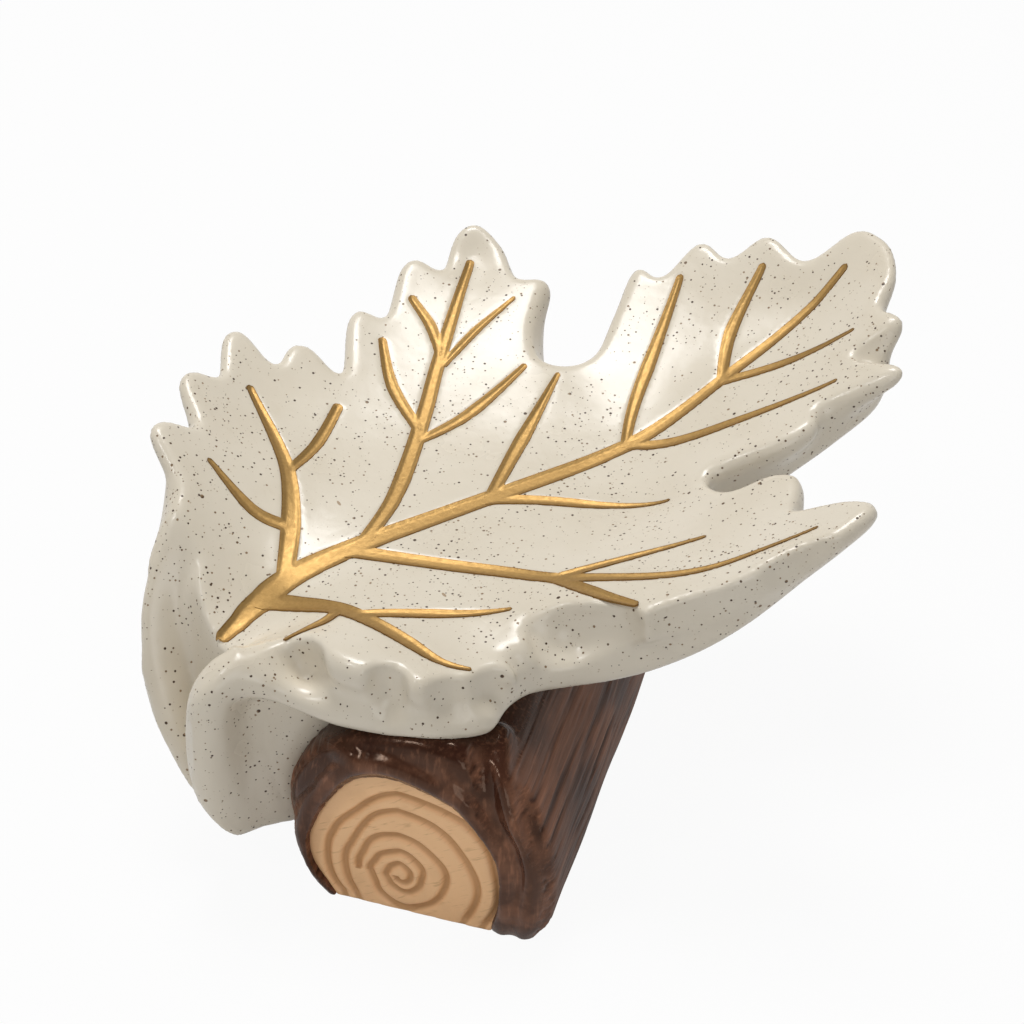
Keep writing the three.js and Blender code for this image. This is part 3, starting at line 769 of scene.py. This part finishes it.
def new_material(name):
    """An empty material with its tree and the piece's own coordinates."""
    material = bpy.data.materials.new(name)
    material.use_nodes = True
    material.node_tree.nodes.clear()
    tree = material.node_tree
    return material, tree, add_node(tree, "ShaderNodeTexCoord", output="Object")


def surface(tree, bump, **sockets):
    """Joins values, and a bump of that height and depth, to a Principled shader and the output."""
    inputs = {name.replace("_", " "): value for name, value in sockets.items()}
    height, depth = bump
    inputs["Normal"] = add_node(tree, "ShaderNodeBump", {"Height": height, "Distance": depth * MM})
    shader = add_node(tree, "ShaderNodeBsdfPrincipled", inputs)
    add_node(tree, "ShaderNodeOutputMaterial", {"Surface": shader})


def attribute(tree, name):
    """A value that is stored on the piece's points."""
    return add_node(tree, "ShaderNodeAttribute", output="Fac", attribute_name=name)


def noise(tree, where, size, detail=2, roughness=0.5):
    """Noise whose blotches are size millimetres across."""
    return add_node(tree, "ShaderNodeTexNoise",
                    {"Vector": where, "Scale": 1 / (size * MM), "Detail": detail, "Roughness": roughness})


def stretched(tree, where, shares):
    """Coordinates scaled by a share for each axis, so that a pattern on them is drawn out."""
    return add_node(tree, "ShaderNodeVectorMath", {0: where, 1: shares}, operation="MULTIPLY")


def along_log(tree, where, shares):
    """Coordinates turned so that X runs along the log, then stretched."""
    turned = add_node(tree, "ShaderNodeVectorRotate", {"Vector": where, "Angle": -LOG_TURN},
                      rotation_type="Z_AXIS")
    return stretched(tree, turned, shares)


def specks(tree, where, spacing, largest, share, blur=0.15):
    """Round specks of many sizes: their mask, and a random number for each."""
    cells = add_node(tree, "ShaderNodeTexVoronoi",
                     {"Vector": where, "Scale": 1 / (spacing * MM)}, "Distance")
    draws = add_node(tree, "ShaderNodeSeparateColor", {"Color": cells.also("Color")})
    radius = draws ** 1.3 * (largest / spacing) + 0.02
    present = draws.also(1) < share
    return (radius - cells).rise(0, radius * blur) * present, draws.also(2)


def speckled_cream_glaze(colours):
    """Cloudy cream glaze with iron specks of several sizes."""
    material, tree, where = new_material("speckled_cream_glaze")
    cloud = noise(tree, where, 16, 3)
    brushed = noise(tree, stretched(tree, where, (1, 0.16, 0.5)), 1.1, 3)
    clay = mix_colours(cloud.rise(0.35, 0.75) * 0.45, colours.cream, colours.cream_shade)
    clay = mix_colours(brushed.rise(0.6, 0.8) * cloud.rise(0.35, 0.6) * 0.4, clay, colours.cream_shade)
    crowd = noise(tree, where, 20, 1).rise(0.3, 0.65) * 0.65 + 0.35
    faint, _ = specks(tree, where, 0.75, 0.17, crowd * 0.8)
    clay = mix_colours(faint * 0.5, clay, colours.fleck)
    small, draw = specks(tree, where, 0.85, 0.27, crowd * 0.75)
    large, _ = specks(tree, where, 2.2, 0.4, crowd * 0.4)
    drawn, _ = specks(tree, stretched(tree, where, (1, 0.4, 0.7)), 4.5, 0.26, crowd * 0.15)
    dark = small.math("MAXIMUM", small, large)
    iron = mix_colours(draw.rise(0.3, 1) * 0.8, colours.speck, colours.fleck)
    clay = mix_colours(drawn * 0.8, clay, colours.fleck)
    clay = mix_colours(dark, clay, iron)
    ripple = noise(tree, where, 5, 2)
    surface(tree, (ripple - dark * 0.3, 0.1), Base_Color=clay, Roughness=0.21 + cloud * 0.1 + dark * 0.2,
            IOR=1.52)
    return material


def gold_lustre(colours):
    """Rubbed gold with a ragged brown line at its edge."""
    material, tree, where = new_material("gold_lustre")
    inside = attribute(tree, "inside")
    ragged = inside + (noise(tree, where, 0.7, 3) - 0.5) * 0.5
    rubbed = noise(tree, where, 1.1, 4, 0.65)
    worn = mix_colours(rubbed.rise(0.35, 0.7) * 0.3, colours.gold, colours.gold_edge)
    film = mix_colours(ragged.rise(0.03, 0.32), colours.gold_edge, worn)
    surface(tree, (rubbed, 0.08), Base_Color=film, Metallic=0.8, Roughness=0.38 + rubbed * 0.2)
    return material


def brown_bark_glaze(colours):
    """Dark glaze that is worn through on the ridges, matt on the flanks and glossy on the ends."""
    material, tree, where = new_material("brown_bark_glaze")
    ridge, flank, proud = (attribute(tree, name) for name in ("ridge", "flank", "proud"))
    fine = noise(tree, along_log(tree, where, (0.04, 1, 1)), 0.7, 3, 0.6)
    patch = noise(tree, along_log(tree, where, (0.35, 1, 1)), 8, 3)
    streaks = ridge.rise(0.1, 0.8) * patch.rise(0.3, 0.6) * 0.6 + fine.rise(0.48, 0.7) * 0.4
    soft = noise(tree, where, 5, 3).rise(0.4, 0.75)
    wraps = noise(tree, stretched(tree, where, (1, 1, 0.12)), 0.8, 3).rise(0.5, 0.7)
    worn = flank * streaks + (1 - flank) * (proud * 0.55 + wraps * 0.5 + 0.06) * (soft * 0.8 + 0.2)
    glaze = mix_colours(worn, colours.bark, colours.ridge)
    surface(tree, (fine * flank, 0.14), Base_Color=glaze, Roughness=0.08 + flank * 0.42 + worn * 0.1,
            Specular_IOR_Level=0.42, Specular_Tint=(1, 0.72, 0.55, 1))
    return material


def tan_end_grain(colours):
    """Tan stain that is darker in the rings, with fine slanting hairs."""
    material, tree, where = new_material("tan_end_grain")
    cut = attribute(tree, "cut")
    cloud = noise(tree, where, 6, 3)
    slant = add_node(tree, "ShaderNodeVectorRotate",
                     {"Vector": where, "Axis": LOG_HEADING, "Angle": HAIR_SLANT}, rotation_type="AXIS_ANGLE")
    hair = noise(tree, stretched(tree, slant, (0.14, 0.14, 1)), 0.5, 3)
    wood = mix_colours(cut.rise(0.25, 1) * 0.75 + cloud.rise(0.5, 0.8) * 0.12, colours.tan, colours.ring)
    wood = mix_colours(hair.rise(0.55, 0.75) * 0.4, wood, colours.ring)
    surface(tree, (hair, 0.06), Base_Color=wood, Roughness=0.38 + cloud * 0.15, IOR=1.48)
    return material


def fired_slip(colours):
    """Matt gritty clay."""
    material, tree, where = new_material("fired_slip")
    grit = noise(tree, where, 1.2, 4)
    clay = mix_colours(grit.rise(0.3, 0.7) * 0.5, colours.slip, colours.cream_shade)
    surface(tree, (grit, 0.1), Base_Color=clay, Roughness=0.75 + grit * 0.15)
    return material


def new_tree(name, **inputs):
    """A geometry tree with named inputs; returns it with a wire for each."""
    tree = bpy.data.node_groups.new(name, "GeometryNodeTree")
    tree.interface.new_socket("Geometry", in_out="OUTPUT", socket_type="NodeSocketGeometry")
    for label, kind in {"Geometry": "Geometry", **inputs}.items():
        tree.interface.new_socket(label, in_out="INPUT", socket_type="NodeSocket" + kind)
    source = tree.nodes.new("NodeGroupInput")
    return tree, {socket.name: Wire(tree, socket) for socket in source.outputs}


def end_tree(tree, shape, material):
    """Realizes a tree's shape, gives it its material and hands it out."""
    plain = add_node(tree, "GeometryNodeRealizeInstances", {"Geometry": shape})
    dressed = add_node(tree, "GeometryNodeSetMaterial", {"Geometry": plain, "Material": material})
    add_node(tree, "NodeGroupOutput", {0: dressed})


def run_tree(tree, base, name, **values):
    """Runs a geometry tree on a base object, and leaves a plain mesh in its place."""
    modifier = base.modifiers.new(tree.name, "NODES")
    modifier.node_group = tree
    for item in tree.interface.items_tree:
        if item.in_out == "INPUT" and item.name in values:
            modifier[item.identifier] = values[item.name]
    depsgraph = bpy.context.evaluated_depsgraph_get()
    mesh = bpy.data.meshes.new_from_object(base.evaluated_get(depsgraph), depsgraph=depsgraph)
    mesh.name = name
    bpy.data.objects.remove(base)
    return add_object(name, mesh)


def keep_value(tree, geometry, name, value):
    """Geometry that keeps a value on its points."""
    return add_node(tree, "GeometryNodeStoreNamedAttribute",
                    {"Geometry": geometry, "Name": name, "Value": value}, data_type="FLOAT", domain="POINT")


def kept_value(tree, name):
    """A value that geometry keeps on its points."""
    return add_node(tree, "GeometryNodeInputNamedAttribute", {"Name": name}, data_type="FLOAT")


def bark_tree():
    """Presses grooves along the log into its bark, inwards only, and keeps the ridges' height."""
    tree, given = new_tree("log_bark", Depth="Float", Width="Float", Run="Float", Seed="Float",
                           Material="Material")
    position = add_node(tree, "GeometryNodeInputPosition")
    squeeze = add_node(tree, "ShaderNodeCombineXYZ", {0: given["Width"] / given["Run"], 1: 1.0, 2: 1.0})
    along = along_log(tree, position, squeeze)
    layers = [add_node(tree, "ShaderNodeTexNoise",
                       {"Vector": along, "W": given["Seed"] + layer, "Scale": share / given["Width"],
                        "Detail": 2.0, "Distortion": 0.3}, noise_dimensions="4D")
              for layer, share in enumerate((1.0, 2.6))]
    ridge = 1 - abs(layers[0] * 2 - 1) * 1.6 - abs(layers[1] * 2 - 1) * 0.9
    normal = add_node(tree, "GeometryNodeInputNormal")
    facing = add_node(tree, "ShaderNodeVectorMath", {0: normal, 1: LOG_HEADING}, "Value",
                      operation="DOT_PRODUCT")
    upward = add_node(tree, "ShaderNodeSeparateXYZ", {0: normal}, "Z")
    flank = (1 - abs(facing).rise(0.5, 0.85)) * (1 - upward.rise(0.5, 0.9) * 0.9)
    height = add_node(tree, "ShaderNodeSeparateXYZ", {0: position}, "Z")
    kept = given["Geometry"]
    for name, value in (("ridge", ridge), ("flank", flank)):
        kept = keep_value(tree, kept, name, value)
    push = (ridge.rise(-0.4, 0.9) - 1) * given["Depth"] * flank * height.rise(0.6 * MM, 3 * MM)
    offset = add_node(tree, "ShaderNodeVectorMath", {0: normal, "Scale": push}, operation="SCALE")
    shaped = add_node(tree, "GeometryNodeSetPosition", {"Geometry": kept, "Offset": offset})
    end_tree(tree, shaped, given["Material"])
    return tree


def gold_tree():
    """Sweeps strips along strokes, lays them in their grooves and gives them thickness."""
    tree, given = new_tree("gold_strokes", Bed="Object", Step="Float", Film="Float", Lift="Float",
                           Material="Material")
    half = kept_value(tree, "half_width")
    stroke = add_node(tree, "GeometryNodeMeshToCurve", {"Mesh": given["Geometry"]})
    stroke = add_node(tree, "GeometryNodeResampleCurve", {"Curve": stroke, "Length": given["Step"]},
                      mode="LENGTH")
    stroke = add_node(tree, "GeometryNodeSetCurveNormal", {"Curve": stroke}, mode="Z_UP")
    brush = add_node(tree, "GeometryNodeCurvePrimitiveLine", {"Start": (1, 0, 0), "End": (-1, 0, 0)})
    brush = add_node(tree, "GeometryNodeResampleCurve", {"Curve": brush, "Count": BRUSH_POINTS}, mode="COUNT")
    strip = add_node(tree, "GeometryNodeCurveToMesh",
                     {"Curve": stroke, "Profile Curve": brush, "Scale": half})
    bed = add_node(tree, "GeometryNodeObjectInfo", {"Object": given["Bed"]}, "Geometry")
    inside = kept_value(tree, "inside")
    found = add_node(tree, "GeometryNodeRaycast",
                     {"Target Geometry": bed, "Attribute": inside, "Ray Direction": (0, 0, -1),
                      "Ray Length": 1.0}, "Hit Position", data_type="FLOAT")
    lift = add_node(tree, "ShaderNodeCombineXYZ", {2: given["Lift"]})
    laid = add_node(tree, "GeometryNodeSetPosition",
                    {"Geometry": strip, "Position": found, "Offset": lift})
    laid = keep_value(tree, laid, "inside", found.also("Attribute"))
    down = add_node(tree, "ShaderNodeCombineXYZ", {2: 0 - given["Film"]})
    below = add_node(tree, "GeometryNodeExtrudeMesh",
                     {"Mesh": laid, "Offset": down, "Offset Scale": 1.0, "Individual": False}, mode="FACES")
    below = add_node(tree, "GeometryNodeFlipFaces", {"Mesh": below})
    both = add_node(tree, "GeometryNodeJoinGeometry", {"Geometry": laid})
    tree.links.new(below.socket, both.socket.node.inputs["Geometry"])
    film = add_node(tree, "GeometryNodeMergeByDistance", {"Geometry": both, "Distance": 1e-7})
    fold = add_node(tree, "GeometryNodeInputMeshEdgeAngle")
    sharp = fold.math("GREATER_THAN", fold, SHARP_FOLD)
    film = add_node(tree, "GeometryNodeSetShadeSmooth",
                    {"Geometry": film, "Selection": sharp, "Shade Smooth": False}, domain="EDGE")
    end_tree(tree, film, given["Material"])
    return tree


# Shapes of the pieces

def leaf_field(form, sizes, veins, low, high):
    """Distance to the leaf's clay, which stays between two corners."""
    def field(x, y, z):
        px, py = np.broadcast_arrays(x[:, :, 0], y[:, :, 0])
        upper = form.upper(px, py)
        under = form.underside(px, py, upper)
        gold = form.gold_depth(px, py)
        cut = (veins["groove"] + veins["bed"]) * smooth_step(0, veins["wall"], gold)
        steep = [np.sqrt(1 + sum(g ** 2 for g in np.gradient(side, sizes["grain"])))
                 for side in (upper, under)]
        teeth = softened(outline_distance(px, py, form.margin), sizes["tooth"], sizes["grain"])
        teeth = teeth - sizes["swell"]
        plain = outline_distance(px, py, form.lower_edge) - sizes["swell"]
        plan = [a[..., None].astype(np.float32) for a in (upper, under, cut, *steep, teeth, plain)]
        upper, under, cut, steep_up, steep_down, teeth, plain = plan
        depth = upper - z
        teeth = teeth - sizes["flare"] * smooth_step(0, FLARE_DEPTH, depth)
        wall = teeth + (plain - teeth) * smooth_step(sizes["flute_start"], sizes["flute_end"], depth)
        rim = smooth_max((z - upper + cut) / steep_up, wall, sizes["rim"])
        foot = smooth_max((under - z) / steep_down, wall, sizes["edge"])
        clay = smooth_max(rim, foot, EDGE_BLEND)
        for radius, route in SCOOPS:
            carve_strand(clay, (x, y, z), smooth_line(route, 2), radius, SCOOP_BLEND)
        for thickness, blend, route in SPOUT_ROLLS:
            join_strand(clay, (x, y, z), smooth_line(route, 4), thickness, blend)
        u, v = to_log(x, y)
        straight = (SADDLE_LENGTH - SADDLE_WIDTH) / 2
        pad = np.hypot(np.maximum(np.abs(u) - straight, 0), v - SADDLE_SIDE) - SADDLE_WIDTH / 2
        saddle = np.maximum(np.maximum(pad, CROWN - SADDLE_DROP - z), z - CROWN - SADDLE_DROP)
        clay = smooth_min(clay, saddle, SADDLE_BLEND)
        clay = smooth_max(clay, -LOG_SINK - log_guard(x, y, z), LOG_SINK_BLEND)
        for places, least, most in zip((x, y, z), low, high):
            clay = np.maximum(clay, np.maximum(least - places, places - most))
        return clay
    return field


def gold_bed(form):
    """The grooves' floor as a fine sheet for the gold to lie on."""
    x, y = np.meshgrid(*(np.arange(-reach, reach, BED_GRAIN) for reach in BED_REACH), indexing="ij")
    depth = form.gold_depth(x, y)
    near = depth > -BED_BORDER
    spots = np.cumsum(near.ravel()).reshape(near.shape) - 1
    here, ahead = slice(None, -1), slice(1, None)
    corners = ((here, here), (ahead, here), (ahead, ahead), (here, ahead))
    cells = np.logical_and.reduce([near[corner] for corner in corners])
    faces = np.stack([spots[corner][cells] for corner in corners], 1)
    x, y, depth = x[near], y[near], depth[near]
    bed = mesh_object("gold_bed", np.c_[x, y, form.upper(x, y) - form.groove(depth)], faces)
    store_values(bed.data, "inside", depth)
    return bed


def stroke_lines(name, strokes, margin, height):
    """Strokes as chains of edges above the leaf, with half widths that close in a round end."""
    points, edges, halves = [], [], []
    for widths, corners in strokes:
        line = smooth_line(corners, STROKE_STEPS)
        half = half_widths(line, widths, margin)
        heading = (line[-1] - line[-2]) / np.linalg.norm(line[-1] - line[-2])
        past = np.sin(np.linspace(0, math.pi / 2, ROUND_END_STEPS)[1:])
        line = np.vstack([line, line[-1] + np.outer(past * half[-1], heading)])
        half = np.r_[half, half[-1] * np.sqrt(1 + LEAST_END - past ** 2)]
        first = len(points)
        points += [(x, y, height) for x, y in line]
        edges += [(i, i + 1) for i in range(first, first + len(line) - 1)]
        halves += list(half * MM)
    mesh = bpy.data.meshes.new(name)
    mesh.from_pydata([Vector(p) * MM for p in points], edges, [])
    store_values(mesh, "half_width", halves)
    return add_object(name, mesh)


def ring_cut(v, z, width):
    """How deep the carved spiral is at each spot of an end face, from 0 to 1."""
    dv, dz = v - HEART[0], z - HEART[1]
    bearing = np.arctan2(-dz, dv) % (2 * math.pi)
    stations = np.linspace(0, 2 * math.pi, len(RING_REACH) + 1)
    reach = np.interp(bearing, stations, RING_REACH + RING_REACH[:1])
    turns = [turn + bearing / (2 * math.pi) for turn in range(len(SPIRAL) // 2)]
    rings = [np.interp(turn, np.arange(len(SPIRAL)) / 2, SPIRAL) for turn in turns]
    rings += [left + (right - left) * (1 - np.cos(bearing)) / 2 for left, right in LOOPS]
    gap = np.full(v.shape, FAR)
    for order, ring in enumerate(rings):
        wave = 1 + sum(share * np.sin(count * bearing + shift * order) for share, count, shift in RING_WAVES)
        gap = np.minimum(gap, np.abs(np.hypot(dv, dz) - ring * wave * reach))
    return 1 - smooth_step(RING_FLOOR, width, gap)


def on_both_ends(route):
    """A route on the front end as a smooth line that follows the askew cut, and its like on the rear end."""
    front = [(u + FRONT_TILT * v - FRONT_REACH, v, z) for u, v, z in route]
    rear = [(-u, v, z) for u, v, z in route]
    return smooth_line(front, 5), smooth_line(rear, 5)


def log_field(sizes):
    """Distance to the log's bark, with a socket in each end."""
    half = LOG_LENGTH / 2
    section = rounded_outline(LOG_SECTION)
    outline = rounded_outline(GRAIN_OUTLINE, 4)

    def field(u, v, z):
        pv, pz = np.broadcast_arrays(v[0], z[0])
        bark = outline_distance(pv, pz, section)[None].astype(np.float32)
        bark = bark + BARK_SWELL * np.sin(u / 9 + pv / 7) * np.cos(pz / 8 - u / 17)
        ends = np.maximum(FRONT_TILT * v - u - FRONT_REACH, u)
        grain = outline_distance(pv, pz, outline)[None].astype(np.float32)
        log = smooth_max(bark, ends - half, sizes["end_round"])
        for thickness, route in STRANDS:
            for line in on_both_ends(route):
                join_strand(log, (u, v, z), line, thickness, STRAND_BLEND)
        for thickness, route in FURROWS:
            for line in on_both_ends(route):
                carve_strand(log, (u, v, z), line, thickness, FURROW_BLEND)
        socket = smooth_max(grain, half - sizes["socket"] - ends, SOCKET_ROUND)
        log = smooth_max(log, -socket, SOCKET_LIP)
        vent = np.maximum(np.hypot(u - VENT_PLACE, v) - sizes["vent"] / 2, z - VENT_DEPTH)
        return np.maximum(np.maximum(log, -vent), -z)
    return field


def face_field(side, sizes):
    """Distance to an end grain face with its carved spiral; side is -1 in front and 1 behind."""
    outer = LOG_LENGTH / 2 - sizes["recess"]
    outline = rounded_outline(GRAIN_OUTLINE, 4)

    def field(u, v, z):
        pv, pz = np.broadcast_arrays(v[0], z[0])
        rim = outline_distance(pv, pz, outline)[None] - FACE_OVERLAP
        depth = ring_cut(pv, pz, sizes["ring_width"]) * smooth_step(0, RING_FADE, pz)
        carved = sizes["ring"] * depth[None]
        ahead = u if side > 0 else FRONT_TILT * v - u - FRONT_REACH
        face = smooth_max(ahead - outer + carved, rim, FACE_ROUND)
        return np.maximum(np.maximum(face, outer - sizes["plate"] - ahead), FACE_LIFT - z)
    return field


def place_on_log(piece):
    """Moves a mesh made in the log's own frame to its place."""
    turn = Matrix.Rotation(LOG_TURN, 4, "Z")
    piece.data.transform(Matrix.Translation((LOG_PLACE[0] * MM, LOG_PLACE[1] * MM, 0)) @ turn)
    return piece


class SOAPDISH_OT_leaf(Operator):
    """Model the leaf's clay with its grooves, teeth and spout"""
    bl_idname = "soap_dish.leaf"
    bl_label = "Leaf Dish"

    def execute(self, context):
        settings = context.scene.soap_dish
        sizes, veins = in_mm(settings.leaf), in_mm(settings.veins)
        low, high = (np.array(corner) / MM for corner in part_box("leaf_dish"))
        field = leaf_field(LeafForm(sizes, veins), sizes, veins, low, high)
        leaf = solid_of("leaf_clay", field, low, high, sizes["grain"])
        finish_piece(leaf, "leaf_dish", speckled_cream_glaze(settings.finishes))
        return {"FINISHED"}


class SOAPDISH_OT_veins(Operator):
    """Lay the gold into the leaf's grooves"""
    bl_idname = "soap_dish.veins"
    bl_label = "Gold Veins"

    def execute(self, context):
        settings = context.scene.soap_dish
        veins = in_mm(settings.veins)
        form = LeafForm(in_mm(settings.leaf), veins)
        bed = gold_bed(form)
        tree = gold_tree()
        gold = gold_lustre(settings.finishes)
        above = CAD_BOX[1].z / MM + BRUSH_HEIGHT
        for order, (node, strokes) in enumerate(VEINS.items()):
            name = node.replace("vein", "gold")
            lines = stroke_lines(name + "_lines", strokes, veins["margin"], above)
            lift = (GOLD_LIFT + GOLD_STAGGER * order) * MM
            strip = run_tree(tree, lines, name, Bed=bed, Step=veins["step"] * MM, Film=veins["film"] * MM,
                             Lift=lift, Material=gold)
            finish_piece(strip, node)
        bpy.data.objects.remove(bed)
        return {"FINISHED"}


class SOAPDISH_OT_log(Operator):
    """Model the half log's bark"""
    bl_idname = "soap_dish.log"
    bl_label = "Log Bark"

    def execute(self, context):
        settings = context.scene.soap_dish
        sizes = in_mm(settings.log)
        half = LOG_LENGTH / 2
        before, behind, beside = BARK_ROOM
        side = LOG_WIDTH / 2 + beside
        low, high = (-half - before, -side, 0), (half + behind, side, CROWN)
        form = solid_of("log_form", log_field(sizes), low, high, BARK_GRAIN)
        store_field(form, "proud", lambda u, v, z: smooth_step(half, half + PROUD_REACH, np.abs(u)))
        bark = run_tree(bark_tree(), place_on_log(form), "log_bark", Depth=sizes["streak"] * MM,
                        Width=sizes["streak_width"] * MM, Run=sizes["streak_run"] * MM,
                        Seed=float(settings.log.seed), Material=brown_bark_glaze(settings.finishes))
        finish_piece(bark, "log_body")
        return {"FINISHED"}


class SOAPDISH_OT_end_faces(Operator):
    """Carve the spiral end grain at both ends of the log"""
    bl_idname = "soap_dish.end_faces"
    bl_label = "End Grain Faces"

    def execute(self, context):
        settings = context.scene.soap_dish
        sizes = in_mm(settings.log)
        stain = tan_end_grain(settings.finishes)
        half = LOG_LENGTH / 2
        for side, end in ((-1, "front"), (1, "rear")):
            depths = sorted((side * (half - sizes["socket"] - FACE_ROOM[0]), side * (half + FACE_ROOM[1])))
            low, high = (depths[0], -LOG_WIDTH / 2, 0), (depths[1], LOG_WIDTH / 2, CROWN)
            face = solid_of(f"{end}_end_grain", face_field(side, sizes), low, high, FACE_GRAIN)
            store_field(face, "cut", lambda u, v, z: ring_cut(v, z, sizes["ring_width"]))
            finish_piece(place_on_log(face), f"log_{end}_face", stain)
        return {"FINISHED"}


class SOAPDISH_OT_slip(Operator):
    """Give the fired slip joint its finish"""
    bl_idname = "soap_dish.slip"
    bl_label = "Slip Joint"

    def execute(self, context):
        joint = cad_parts["slip_joint"]
        joint.data.materials.clear()
        joint.data.materials.append(fired_slip(context.scene.soap_dish.finishes))
        return {"FINISHED"}


class SOAPDISH_OT_stage(Operator):
    """Set up the floor, the soft light, the white surroundings and the camera"""
    bl_idname = "soap_dish.stage"
    bl_label = "Stage"

    def execute(self, context):
        stage = context.scene.soap_dish.stage
        context.scene.view_settings.view_transform = "Standard"
        add_floor(stage)
        add_sky(context.scene, stage)
        add_lamp("top_box", *TOP_BOX, stage.key)
        add_lamp("front_box", *FRONT_BOX, stage.fill)
        add_lamp("left_lamp", *LEFT_LAMP, stage.glint)
        add_camera(context.scene, stage)
        return {"FINISHED"}


def seen_white(tree, mirrored):
    """1 for camera rays, and mirrored for the glossy and transmission rays that show the surroundings."""
    path = add_node(tree, "ShaderNodeLightPath", output="Is Camera Ray")
    bounced = path.math("MAXIMUM", path.also("Is Glossy Ray"), path.also("Is Transmission Ray"))
    return path.math("MAXIMUM", path, bounced * mirrored)


def add_floor(stage):
    """A white floor that keeps the shadow and is clear from below."""
    mesh = bpy.data.meshes.new("floor")
    corners = [(x * FLOOR_REACH, y * FLOOR_REACH, 0) for x, y in ((-1, -1), (1, -1), (1, 1), (-1, 1))]
    mesh.from_pydata(corners, [], [(0, 1, 2, 3)])
    floor = add_object("floor", mesh)
    floor.location.z = -FLOOR_GAP
    material, tree, _ = new_material("white_floor")
    paper = add_node(tree, "ShaderNodeBsdfDiffuse", {"Color": FLOOR_GREY})
    white = add_node(tree, "ShaderNodeEmission", {"Color": (1, 1, 1, 1), "Strength": 1.0})
    shown = seen_white(tree, FLOOR_MIRRORED) * (1 - stage.shadow)
    lit = add_node(tree, "ShaderNodeMixShader", {0: shown, 1: paper, 2: white})
    below = add_node(tree, "ShaderNodeNewGeometry", output="Backfacing")
    clear = add_node(tree, "ShaderNodeBsdfTransparent")
    sheet = add_node(tree, "ShaderNodeMixShader", {0: below, 1: lit, 2: clear})
    add_node(tree, "ShaderNodeOutputMaterial", {"Surface": sheet})
    mesh.materials.append(material)


def add_sky(scene, stage):
    """A white background that lights the dish only softly."""
    scene.world = bpy.data.worlds.new("studio")
    scene.world.use_nodes = True
    tree = scene.world.node_tree
    tree.nodes.clear()
    heading = add_node(tree, "ShaderNodeTexCoord", output="Generated")
    height = add_node(tree, "ShaderNodeSeparateXYZ", {0: heading}, "Z")
    above = height.rise(*OVERHEAD)
    mirrored = add_node(tree, "ShaderNodeLightPath", output="Is Glossy Ray")
    room = (1 - mirrored * above * OVERHEAD_DIMMED) * stage.sky
    glow = seen_white(tree, (1 - above) * SKY_MIRRORED) * (1 - stage.sky) + room
    sky = add_node(tree, "ShaderNodeBackground", {"Color": WARM_WHITE, "Strength": glow})
    add_node(tree, "ShaderNodeOutputWorld", {"Surface": sky})


def add_lamp(name, place, size, power):
    """A square soft lamp that faces the dish."""
    lamp = bpy.data.lights.new(name, "AREA")
    lamp.shape = "SQUARE"
    lamp.size = size
    lamp.energy = power
    box = add_object(name, lamp)
    box.location = place
    box.rotation_euler = (AIM - Vector(place)).to_track_quat("-Z", "Y").to_euler()


def add_camera(scene, stage):
    """A camera turned round and tilted down at the dish."""
    camera = add_object("camera", bpy.data.cameras.new("camera"))
    camera.data.angle = stage.field
    ahead = Vector((math.sin(stage.turn) * math.cos(stage.tilt), math.cos(stage.turn) * math.cos(stage.tilt),
                    -math.sin(stage.tilt)))
    camera.location = AIM - ahead * stage.distance
    camera.rotation_euler = ahead.to_track_quat("-Z", "Y").to_euler()
    camera.data.clip_start = 10 * MM
    scene.camera = camera


OPERATORS = (SOAPDISH_OT_stage, SOAPDISH_OT_leaf, SOAPDISH_OT_veins, SOAPDISH_OT_log, SOAPDISH_OT_end_faces,
             SOAPDISH_OT_slip)


class SOAPDISH_PT_panel(Panel):
    """Lists the dish's sizes and the operators that build it"""
    bl_idname = "SOAPDISH_PT_panel"
    bl_label = "Soap Dish"
    bl_space_type = "VIEW_3D"
    bl_region_type = "UI"
    bl_category = "Soap Dish"

    def draw(self, context):
        settings = context.scene.soap_dish
        for group in (settings.leaf, settings.veins, settings.log, settings.finishes, settings.stage):
            box = self.layout.box()
            for name in group.__annotations__:
                box.prop(group, name)
        for operator in OPERATORS:
            self.layout.operator(operator.bl_idname)


CLASSES = (LeafSizes, VeinSizes, LogSizes, Finishes, StageSizes, SoapDishSettings, *OPERATORS,
           SOAPDISH_PT_panel)


def register():
    for cls in CLASSES:
        bpy.utils.register_class(cls)
    bpy.types.Scene.soap_dish = PointerProperty(type=SoapDishSettings)


def unregister():
    del bpy.types.Scene.soap_dish
    for cls in reversed(CLASSES):
        bpy.utils.unregister_class(cls)


def main():
    register()
    bpy.ops.soap_dish.stage()
    bpy.ops.soap_dish.leaf()
    bpy.ops.soap_dish.veins()
    bpy.ops.soap_dish.log()
    bpy.ops.soap_dish.end_faces()
    bpy.ops.soap_dish.slip()


if __name__ == "__main__":
    main()
